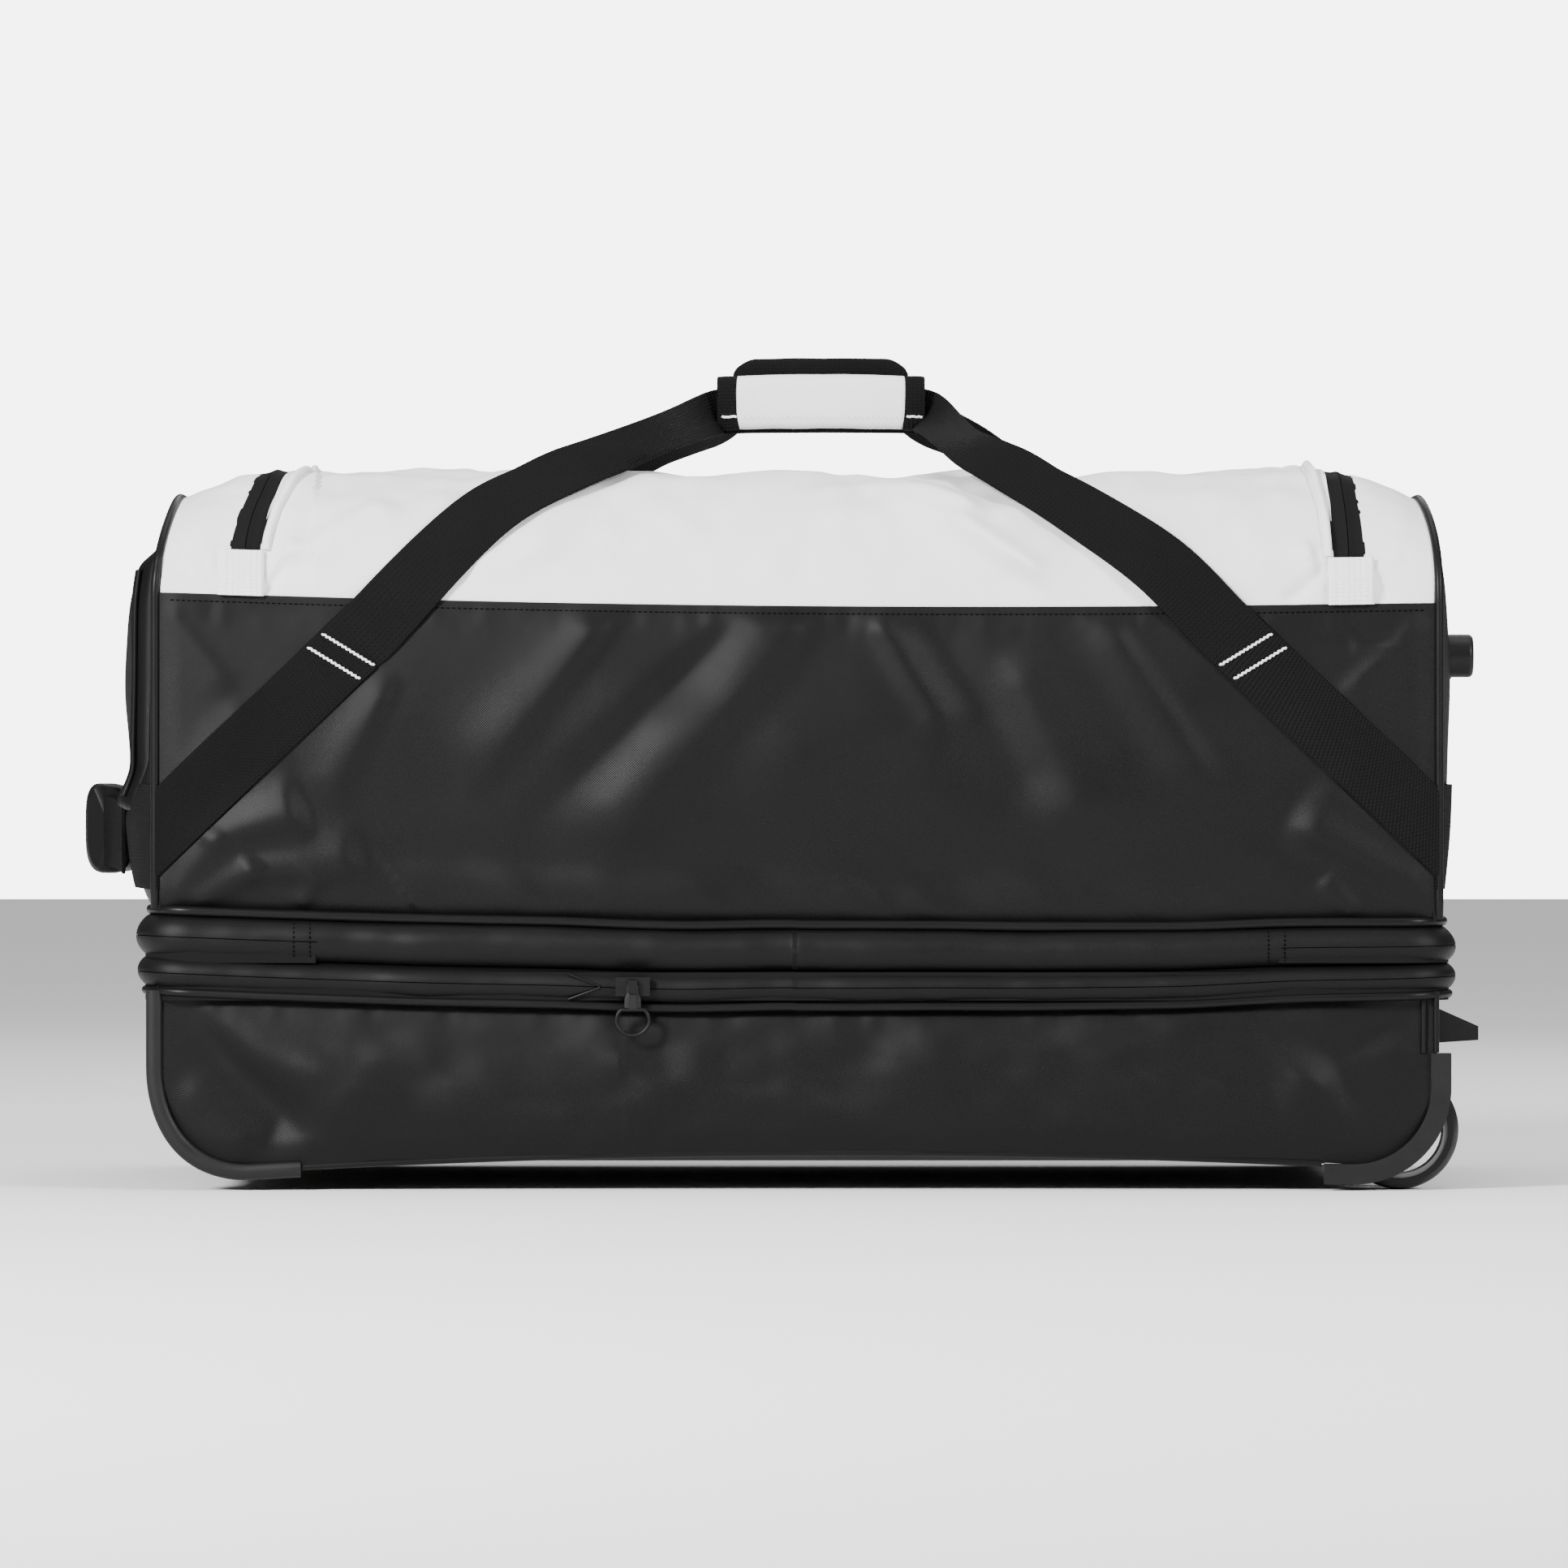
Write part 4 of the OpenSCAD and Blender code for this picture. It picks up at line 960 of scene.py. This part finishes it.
LOW_FOLDS = (
    ((-402, 114), (-322, 36), 14, -6.0, 1.4),
    ((-386, 120), (-276, 44), 18, 5.0, 0.8),
    ((-392, 66), (-350, 30), 14, 3.0, 1.2),
    ((402, 116), (340, 72), 13, -5.4, 0.8),
    ((396, 88), (312, 64), 14, 4.4, 0.8),
    ((-130, 112), (-90, 40), 18, 2.2, 1.4),
    ((60, 116), (20, 48), 20, -2.0, 1.2),
    ((190, 112), (230, 40), 20, 2.2, 1.3),
)


def low_lift(x, z, seed):
    """How far a lower panel stands off its plane."""
    u, v = x / HALF_L, np.clip((z - BOTTOM) / (BAND_LOW - BOTTOM), 0, 1)
    hold = (1 - np.abs(u) ** 9) * np.clip(np.sin(math.pi * np.clip(v * 0.94 + 0.06, 0, 1)), 0, 1) ** 0.6
    lift = 8.5 * (1 - np.abs(u) ** 4) * hold
    f = folds(x, z, LOW_FOLDS)
    f += 1.6 * noise(x + z, z, 52, seed) + 0.8 * noise(x, z * 1.4 + x * 0.2, 22, seed + 1)
    near_seam = np.exp(-(((z - BAND_LOW + 6) / 7) ** 2))
    return lift + 1.4 * f * hold + 0.5 * noise(x, 0.3 * z, 8, seed + 2) * near_seam


for side, word, seed in ((-1, "front", 81), (1, "back", 91)):
    x = spaced(-HALF_L + 0.3, HALF_L - 0.3, 2.4, 1.12)
    t = np.linspace(0, 1, 46)
    low = tub_low(x)
    zz = low[:, None] + (BAND_LOW + 5 - low)[:, None] * t[None]
    xx = np.broadcast_to(x[:, None], zz.shape)
    off = low_lift(xx, zz, seed)
    rim = 2.5 * (1 - smooth(t * 6))[None]
    p = stacked(xx, side * (HALF_D + 1 + off - rim), zz)
    cells = ~under_guard(xx, zz)[:-1, :-1]
    wall = sheet("lower_panel_" + word, p, WALL, BLACK, LINING, keep=cells, flip=side > 0)
    belongs(wall, "base", "black_fabric", "lower_" + word)

a = np.linspace(0, math.pi / 2, 24)
corner_l, corner_r = HALF_L - CORNER_R, HALF_L - WHEEL_CORNER_R
left = stacked(-HALF_L, np.linspace(BAND_LOW + 5, BOTTOM + CORNER_R, 20))
turn_l = stacked(-corner_l - CORNER_R * np.cos(a), BOTTOM + CORNER_R - CORNER_R * np.sin(a))
flat = stacked(np.linspace(-corner_l, corner_r, 150), BOTTOM)
turn_r = stacked(corner_r + WHEEL_CORNER_R * np.sin(a), BOTTOM + WHEEL_CORNER_R * (1 - np.cos(a)))
right = stacked(HALF_L, np.linspace(BOTTOM + WHEEL_CORNER_R, BAND_LOW + 5, 20))
track = np.concatenate([left[:-1], turn_l[:-1], flat[:-1], turn_r[:-1], right])
track_out = np.gradient(track, axis=0)
track_out = stacked(track_out[:, 1], -track_out[:, 0])
track_out /= np.linalg.norm(track_out, axis=1, keepdims=True)
y = spaced(-HALF_D + 0.5, HALF_D - 0.5, 3)
length = run_lengths(track)[:, None]
ends = 5.0 * np.exp(-((length - 50) / 60) ** 2) + 4.0 * np.exp(-((length[-1] - length - 50) / 60) ** 2)
puff = (1 - np.abs(y / HALF_D) ** 6)[None] * ends
puff = puff + 0.9 * noise(length, y[None], 45, 101)
p = stacked(track[:, :1] + track_out[:, :1] * puff, y[None], track[:, 1:] + track_out[:, 1:] * puff)
boxed = (np.abs(y)[None] > 155.0) & (track[:, :1] > HALF_L - 75) & (track[:, 1:] < BOTTOM + 73)
strip = sheet("bottom_strip_cloth", p, WALL, BLACK, LINING, keep=~boxed[:-1, :-1], flip=True)
belongs(strip, "base", "black_fabric", "bottom_strip")


def tub_path(x0, x1, off, z_top):
    """Points along the lower outline from the left side at z_top, or from x0, to x1."""
    r = CORNER_R + off
    ang = np.linspace(0, math.pi / 2, 30)
    pts = []
    if x0 is None:
        pts.append(stacked(-HALF_L - off, np.linspace(z_top, BOTTOM + CORNER_R + 3, 12)))
        pts.append(stacked(-corner_l - r * np.cos(ang), BOTTOM + CORNER_R - r * np.sin(ang)))
        x0 = 4 - corner_l
    count = max(4, int((x1 - x0) / 5))
    pts.append(stacked(np.linspace(x0, x1, count), BOTTOM - off))
    return np.concatenate(pts)


trims = []
TRIM_SECTION = np.array([(-5.2, -3), (-5.2, 1.4), (-3.8, 3.0), (0, 3.7), (3.8, 3.0), (5.2, 1.4), (5.2, -3)])
for side, word in ((-1, "front"), (1, "back")):
    path = tub_path(None, -HALF_L + 92, 1.8, BAND_LOW + 2)
    path = stacked(path[:, 0], side * (HALF_D + 1.0), path[:, 1])
    trims.append(sweep("trim", path, TRIM_SECTION, PLASTIC, up=(0, side, 0)))
    path = tub_path(-HALF_L + 93, HALF_L - 74, 0.6, 0)
    path = stacked(path[:, 0], side * (HALF_D - 0.4), path[:, 1])
    belongs(sweep(f"bottom_piping_{word}", path, disc(2.3, 10), CORD), "base", "piping_cord")
    for k, inward in enumerate((1.0, 9.0)):
        upright = np.linspace(GUARD_TOP - 4, BAND_LOW + 3, 30)
        path = stacked(HALF_L + 0.4 - inward, side * (HALF_D + 1.6), upright)
        edge = sweep(f"wheel_edge_piping_{word}_{k}", path, disc(2.0, 10), CORD, up=(0, side, 0))
        belongs(edge, "base", "piping_cord")
corner_trim = join(trims, "corner_trim_pair")
belongs(corner_trim, "base", "black_plastic", "corner_trims")

# skids and handle under the bag follow its hollow underside
skids = []
for mid_x, half_x, half_y, drop in ((-162, 26, 130, 6.5), (275, 36, 120, 7.5)):
    x, y = np.meshgrid(np.linspace(-1, 1, 40), np.linspace(-1, 1, 60), indexing="ij")
    edge = np.clip(1 - np.abs(x) ** 6, 0, 1) ** 0.5 * np.clip(1 - np.abs(y) ** 12, 0, 1) ** 0.5
    p = stacked(mid_x + x * half_x, y * half_y, BOTTOM + 1.0 - edge * drop)
    skids.append(sheet("skid", p, 1.0, PLASTIC, flip=True))
skid_pair = join(skids, "skid_pair")
belongs(skid_pair, "base", "black_plastic", "bottom_skids")

x = np.linspace(-84, 84, 90)
fall_off = smooth((84 - np.abs(x)) / 44)
path = stacked(64 + x, 0 * x, BOTTOM - 1.6 - 8.5 * fall_off - 1.5 * fall_off * (x / 84) ** 2)
web = sweep("bottom_handle_web", path, band_section(32, 3.0), WEBBING, up=(0, 0, -1))
belongs(web, "base", "black_webbing", "bottom_handle")

# ---------------------------------------------------------------- webbing sewn to the body
WEB_RISE = 113.0
slope = math.atan2(WEB_RISE, HALF_L - TACK_X)
run = np.array([math.cos(slope), math.sin(slope)])
cross = np.array([-run[1], run[0]])
reach = math.hypot(WEB_RISE, HALF_L - TACK_X)


def on_strap(side, face, along, across, off):
    """A point on the face of the body, by its place along and across the sewn webbing."""
    x = side * (HALF_L + 1 - run[0] * along - cross[0] * across)
    z = level(x, TACK_Z - WEB_RISE + run[1] * along + cross[1] * across)
    length = z - BAND_TOP
    return x, length if face < 0 else S_END - length, shell(x, length if face < 0 else S_END - length, off)


bars = []
for side, word in ((-1, "left"), (1, "right")):
    pieces = []
    for face in (-1, 1):
        t = np.linspace(0, 1, 64)
        w = np.linspace(-0.5, 0.5, 17) * WEB_W
        tt, ww = np.meshgrid(t, w, indexing="ij")
        first = ww * np.tan(slope)
        along = first + (reach + 12 - first) * tt
        q = on_strap(side, face, along, ww, 3.5)[2]
        q[..., 1] -= face * 0.6 * smooth((np.abs(ww) - WEB_W / 2 + 1.2) / 1.2)
        pieces.append(sheet("web", q, WEB_T + 0.6, WEBBING, flip=(face * side < 0)))
        for k in (6.6, -6.0):
            line = np.linspace(-0.45, 0.45, 44) * WEB_W
            zigzag = 0.5 * np.sin(np.arange(44) * 1.9)
            x, length, path = on_strap(side, face, reach + k + zigzag - 0.27 * line, line, 4.1)
            bars.append(sweep("bar", path, disc(0.85, 6), WHITE_THREAD, up=shell_normal(x, length)))
    y = np.linspace(-HALF_D - 3.4, HALF_D + 3.4, 120)
    z = np.linspace(TACK_Z - WEB_RISE - WEB_W * 0.86, TACK_Z - WEB_RISE + WEB_W * 0.74, 14)
    yy, zz = np.meshgrid(y, z, indexing="ij")
    off = 3.4 * (1 - smooth((np.abs(yy) - HALF_D - 0.5) / 3))
    face_x = end_panel_x(side, np.clip(yy, -HALF_D, HALF_D), zz)
    q = stacked(face_x + side * off, yy, level(side * HALF_L, zz))
    pieces.append(sheet("web", q, WEB_T, WEBBING, flip=side < 0))
    webbing = join(pieces, "sewn_webbing_" + word)
    belongs(webbing, "upper", "black_webbing", "webbing_" + word)
tacks = join(bars, "bar_tacks")
belongs(tacks, "upper", "white_thread", "bartacks")

# ---------------------------------------------------------------- carry loops


def curve_through(points, n):
    """A smooth line through a few points."""
    p = np.asarray(points, float)
    p = np.concatenate([2 * p[:1] - p[1:2], p, 2 * p[-1:] - p[-2:-1]])
    out = []
    t = np.linspace(0, 1, n, endpoint=False)[:, None]
    for a, b, c, d in zip(p, p[1:], p[2:], p[3:]):
        bend = (2 * a - 5 * b + 4 * c - d) * t**2 + (3 * b - a - 3 * c + d) * t**3
        out.append(0.5 * (2 * b + (c - a) * t + bend))
    return np.concatenate([*out, p[-2:-1]])


GRIP_LOW, GRIP_HIGH = corners("front_grip")
GRIP_X = (GRIP_LOW[0] + GRIP_HIGH[0]) / 2 - MIDDLE
GRIP_HALF = (GRIP_HIGH[0] - GRIP_LOW[0]) / 2
GRIP = (GRIP_LOW + GRIP_HIGH) / 2
REAR = sum(corners("back_grip")) / 2


def on_dome(x, z, off, face):
    """The point off the cloth at x whose height is z, on the front or the back of the dome."""
    s = np.linspace(S_SEAM - 60, S_TOP, 200)
    heights = shell(x + 0 * s, s, off)[:, 2]
    best = np.interp(level(x, z), heights, s)
    return shell(x, best if face < 0 else S_END - best, off)


# where the free webbing passes on its way to the grip: distance from the grip's middle and height
LEFT_RISE = ((225, 428), (189, 451), (143, 472), (97, 491))
RIGHT_RISE = ((218, 401), (176, 430), (148, 448), (110, 470), (88, 484))


def eased(p, times=40):
    """The same line or set of directions with its small kinks evened out."""
    p = np.array(p, float)
    for _ in range(times):
        p[1:-1] = (p[:-2] + 2 * p[1:-1] + p[2:]) / 4
    return p


def loop_half(side, face):
    grip = GRIP if face < 0 else REAR
    end_x = GRIP_X + side * GRIP_HALF
    pts = [on_strap(side, face, reach + k, 0, off)[2] for k, off in ((0, 1.6), (14, 2.6), (34, 3.8))]
    for dx, z in LEFT_RISE if side < 0 else RIGHT_RISE:
        x = GRIP_X + side * dx
        if z < 455:
            pts.append(on_dome(x, z, 6.0, face))
        else:
            y = np.interp(z, (455, 470, 486, 503), (165, 147, 114, 78))
            if face > 0:
                x, z = x * 1.04 + (10 if side < 0 else 5), z + (5 if side < 0 else 9)
            pts.append(np.array([x, face * y, level(x, z)]))
    outward = 4 if face < 0 else -3
    below = 8 if face < 0 else 22
    pts.append(np.array([end_x + side * outward, grip[1] + face * 4, grip[2] - below]))
    pts.append(np.array([end_x + side * (outward - 18), grip[1], grip[2] - 5]))
    return [np.array(q, float).reshape(3) for q in pts]


for face, word, body in ((-1, "front", "front_carry"), (1, "back", "back_carry")):
    pts = loop_half(-1, face) + loop_half(1, face)[::-1]
    path = eased(curve_through(pts, 14))
    h = np.clip((path[:, 2] - SEAM) / (DOME_TOP + 16 - SEAM), 0, 1)
    near = smooth((path[:, 2] - DOME_TOP - 4) / 34)
    tilt = np.radians(64 * h * (1 - near))
    out = eased(stacked(0 * h, face * np.cos(tilt), np.sin(tilt)), 80)
    width = WEB_W * (1 - 0.28 * smooth((path[:, 2] - DOME_TOP + 6) / 30))
    section = band_section(WEB_W, WEB_T)[None] * stacked(width / WEB_W, 1.0)[:, None]
    loop = sweep(f"carry_loop_{word}", path, section, WEBBING, up=out)
    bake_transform(loop)
    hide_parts(f"{word}_loop")

# ---------------------------------------------------------------- grips


def wrap_section(t, depth, height):
    """A soft rounded block seen from its end."""
    a = t * 2 * math.pi
    c, s = np.cos(a), np.sin(a)
    full = 0.62  # 1 is an oval, 0 a box
    return stacked(depth / 2 * np.sign(c) * np.abs(c) ** full, height / 2 * np.sign(s) * np.abs(s) ** full)


def grip(name, centre, half_len, depth, height, material, body, replaced, bend=0.0, seed=0, shoulder=0.0):
    """A padded wrap; bend lifts its middle and shoulder slopes its top at both ends."""
    t = np.linspace(0, 1, 49)[:-1]
    x = np.linspace(-1, 1, 60)
    puff = 1 + 0.03 * (1 - x**2) - 0.10 * smooth((np.abs(x) - 0.97) / 0.03)
    sec = wrap_section(t, depth, height)[None] * puff[:, None, None]
    path = stacked(centre[0] - MIDDLE + x * half_len, centre[1], centre[2] + bend * (1 - x**2))
    xx, tt = np.meshgrid(x, t, indexing="ij")
    sec = sec + 0.35 * noise(xx * half_len, tt * 90, 16, seed)[..., None]
    sec[..., 1] -= shoulder * (np.clip((np.abs(xx) - 0.72) / 0.28, 0, 1) ** 2) * (sec[..., 1] > 0)
    obj = sweep(name, path, stacked(-sec[..., 0], sec[..., 1]), material)
    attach(obj, body)
    if replaced:
        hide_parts(replaced)
    return obj


height = GRIP_HIGH[2] - GRIP_LOW[2]
white_wrap = grip(
    "front_grip_wrap", GRIP, GRIP_HALF - 12, 23, height - 1, WHITE, "front_carry", "front_grip", 0.8, 111)
rear_wrap = grip(
    "back_grip_wrap", REAR, GRIP_HALF - 10, 21, height - 1, WEBBING, "back_carry", "back_grip",
    0.5, 113, shoulder=8.0)
for side, word in ((-1, "left"), (1, "right")):
    centre = GRIP + [side * (GRIP_HALF - 7), 0.5, -0.5]
    grip("grip_cuff_" + word, centre, 7.5, 22, height - 0.5, WEBBING, "front_carry", None, 0.0, 115 + side)
    line = stacked(centre[0] - MIDDLE + np.linspace(-5, 5, 10), centre[1] - 11.4, GRIP_LOW[2] + 8.0)
    line = line + np.random.RandomState(5 + side).rand(10, 3) * 0.8
    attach(sweep("grip_thread_" + word, line, disc(0.9, 6), WHITE_THREAD), "front_carry")
x = np.linspace(-GRIP_HALF + 16, GRIP_HALF - 16, 40)
seam_z = GRIP_LOW[2] + 7.5 + 0.5 * (1 - (x / GRIP_HALF) ** 2)
seam = stacked(GRIP_X + x, GRIP[1] - 12.5, seam_z)
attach(stitches("grip_seam", seam, (0, -1, 0), GREY_THREAD, pitch=4.0, share=0.3, r=0.3), "front_carry")

# ---------------------------------------------------------------- stitching along the seams
x = np.linspace(-HALF_L + 8, HALF_L - 8, 500)
for word, at in (("front", S_SEAM - 3.4), ("back", S_BACK_SEAM + 3.4)):
    s = np.full(500, at)
    row = stitches("seam_stitch_" + word, shell(x, s, 1.0), shell_normal(x, s), THREAD)
    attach(row, "upper")

# ---------------------------------------------------------------- end pocket
POCKET_LOW, POCKET_HIGH = corners("pocket_shell")
pw = (POCKET_HIGH[1] - POCKET_LOW[1]) / 2
pz0, pz1 = POCKET_LOW[2], POCKET_HIGH[2] + 5
t = np.linspace(-1, 1, 110)
t = np.sign(t) * (1 - (1 - np.abs(t)) ** 1.7)
uu, vv = np.meshgrid(t, t, indexing="ij")
yy, zz = uu * pw, (pz0 + pz1) / 2 + vv * (pz1 - pz0) / 2
wall = np.clip(1 - np.abs(uu) ** 30, 0, 1) ** 0.5 * np.clip(1 - np.abs(vv) ** 24, 0, 1) ** 0.5
front = 8 + 11 * (1 - uu**2) * (1 - 0.4 * vv**2) + 1.3 * noise(yy, zz, 40, 121)
front = front * (1 - 0.7 * smooth((zz - pz1 + 12) / 12))
PIPED = 7.0, 16.0  # distances of the two piped seams from the pocket's sides
ridge = sum(1.6 * np.exp(-(((np.abs(uu) * pw - pw + inward) / 2.2) ** 2)) for inward in PIPED)
p = stacked(end_panel_x(-1, yy, zz) - wall * (front + ridge) - 0.3, yy, zz)
pocket = sheet("end_pocket", p, 2.0, BLACK, LINING, flip=True, droop=False)
belongs(pocket, "upper", "black_fabric", "pocket_shell", "pocket_zip")
for k, inward in enumerate(PIPED):
    for side in (-1, 1):
        z = np.linspace(pz0 + 10, pz1 - 14, 50)
        y = side * (pw - inward)
        x = end_panel_x(-1, y, z) - 8.6 - 6 * (1 - (y / pw) ** 2) - 1.2
        name = f"pocket_piping_{k}_{side + 1}"
        bead = sweep(name, stacked(x, y, z), disc(1.9, 10), CORD, up=(-1, 0, 0), droop=False)
        belongs(bead, "upper", "piping_cord")

# ---------------------------------------------------------------- end handle
HANDLE_LOW, HANDLE_HIGH = corners("end_handle_wrap")
hz = (HANDLE_LOW[2] + HANDLE_HIGH[2]) / 2
hx = (HANDLE_LOW[0] + HANDLE_HIGH[0]) / 2 - MIDDLE
sewn_x = float(end_panel_x(-1, 112.0, hz)) - 4.6
pts = []
for side in (-1, 1):
    arm = [
        np.array([sewn_x, side * 119.0, hz - 6]),
        np.array([sewn_x - 2, side * 104.0, hz - 5]),
        np.array([(sewn_x + hx) / 2 - 1, side * 74.0, hz - 2]),
        np.array([hx, side * 44.0, hz - 1]),
    ]
    pts += arm if side < 0 else arm[::-1]
path = curve_through(pts, 12)
handle_web = sweep("end_handle_strap", path, band_section(46, WEB_T), WEBBING, up=(-1, 0, 0), droop=False)
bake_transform(handle_web)
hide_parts("end_handle_web")
t = np.linspace(0, 1, 49)[:-1]
ys = np.linspace(-1, 1, 50)
sec = wrap_section(t, 31, 58)
sec[:, 1] += sec[:, 0] * -0.25 * (sec[:, 1] > 0)
sec = np.broadcast_to(sec, (50, 48, 2)) * (1 - 0.08 * smooth((np.abs(ys) - 0.93) / 0.07))[:, None, None]
path = stacked(HANDLE_LOW[0] - MIDDLE + 15.5 + 3 * ys**2, ys * 61, 231.0)
handle_wrap = sweep("end_handle_sleeve", path, sec, CORD, droop=False)
belongs(handle_wrap, "end_handle", "black_webbing", "end_handle_wrap")

# ---------------------------------------------------------------- zip pulls: a tab with a wire ring


def wire_pull(node, body):
    """A tab that hangs from its slider, with a wire ring at its foot."""
    low, high = corners(node)
    mid, length = (low + high) / 2, high[2] - low[2]

    def place(down, aside):
        return stacked(mid[0] - MIDDLE + aside, mid[1], high[2] - down)

    a = np.linspace(0, 2 * math.pi, 48, endpoint=False)
    r = 10.5
    ring_down = length - r + r * 0.9 * np.maximum(np.sin(a), -0.72)
    wire = place(ring_down, r * np.cos(a))
    pieces = [sweep("ring", wire, disc(1.3, 10), METAL, closed=True, up=(0, 1, 0), droop=False)]
    down = np.linspace(0.5, length - r * 1.6, 24)
    width = 7.0 + 3.5 * smooth((down - 4) / 6)
    section = band_section(1.0, 2.2)[None] * stacked(width, 1.0)[:, None]
    pieces.append(sweep("tab", place(down, 0.0), section, PLASTIC, up=(0, 1, 0), droop=False))
    pull = join(pieces, node + "_wire")
    belongs(pull, body, "black_plastic", node)


for zip_name in ("expansion", "lid", "clamshell"):
    wire_pull(zip_name + "_pull", zip_name + "_tab")

# ---------------------------------------------------------------- hard pieces keep their CAD shape
looks = {
    PLASTIC: ("wheel_housing_front", "wheel_housing_back", "lower_feet", "upper_feet"),
    RUBBER: ("tyre_front", "tyre_back"),
    HUB: ("hub_front", "hub_back"),
    STEEL: ("axles", "bearings_front", "bearings_back"),
    METAL: ("expansion_slider", "lid_slider", "clamshell_slider"),
    LINING: ("base_board", "divider"),
    TAPE: ("expansion_tape_lower", "expansion_tape_upper", "clamshell_tape_lower", "clamshell_tape_upper"),
}
for material, names in looks.items():
    for name in names:
        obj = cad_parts[name]
        obj.data.materials.clear()
        obj.data.materials.append(material)
for name in looks[PLASTIC] + looks[METAL]:
    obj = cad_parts[name]
    soften = obj.modifiers.new("soften", "BEVEL")
    soften.width = 0.0006
    soften.segments = 2
    soften.limit_method = "ANGLE"
    soften.angle_limit = math.radians(40)

# ---------------------------------------------------------------- room, light and camera
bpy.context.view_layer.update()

bpy.ops.mesh.primitive_plane_add(size=30)
floor = bpy.context.object
floor.name = "floor"
paper, _tree, _bsdf = new_material("paper", (0.93, 0.93, 0.93), 0.9, 0.1)
floor.data.materials.append(paper)

world = bpy.data.worlds.new("world")
bpy.context.scene.world = world
world.use_nodes = True
tree = world.node_tree
sky = tree.nodes["Background"]
sky.inputs["Color"].default_value = (1, 1, 1, 1)
split_dir = tree.nodes.new("ShaderNodeSeparateXYZ")
tree.links.new(tree.nodes.new("ShaderNodeTexCoord").outputs["Generated"], split_dir.inputs[0])
upward = math_node(tree, "MAXIMUM", split_dir.outputs[2], 0.0)
glow = math_node(tree, "MULTIPLY", math_node(tree, "POWER", upward, 2.4), 1.2)
around = math_node(tree, "ADD", glow, 0.10)
seen = tree.nodes.new("ShaderNodeLightPath").outputs["Is Camera Ray"]
backdrop = math_node(tree, "MULTIPLY", seen, 6.0)
tree.links.new(math_node(tree, "ADD", around, backdrop), sky.inputs["Strength"])


def area_light(name, place, target, size, power):
    data = bpy.data.lights.new(name, "AREA")
    data.shape = "RECTANGLE"
    data.size, data.size_y = size
    data.energy = power
    obj = bpy.data.objects.new(name, data)
    bpy.context.scene.collection.objects.link(obj)
    obj.location = place
    obj.rotation_euler = (Vector(target) - Vector(place)).to_track_quat("-Z", "Y").to_euler()
    return obj


area_light("key", (-2.2, -3.0, 1.9), (0, 0, 0.25), (0.8, 0.8), 300)
area_light("fill", (2.8, -2.6, 1.9), (0, 0, 0.25), (0.8, 1.2), 130)
area_light("top", (0.3, 0.2, 2.8), (0, 0, 0.3), (2.2, 1.4), 20)
area_light("rim", (0.6, 2.6, 2.0), (0, 0, 0.3), (2.4, 1.0), 18)

camera = bpy.data.cameras.new("camera")
camera.sensor_width = 36
camera.lens = 36 * 6.0 / 1.0046
camera.clip_end = 50
eye = bpy.data.objects.new("camera", camera)
bpy.context.scene.collection.objects.link(eye)
eye.location = (0.0059, -6.2, 0.2605)
eye.rotation_euler = (math.radians(90), 0, 0)
bpy.context.scene.camera = eye
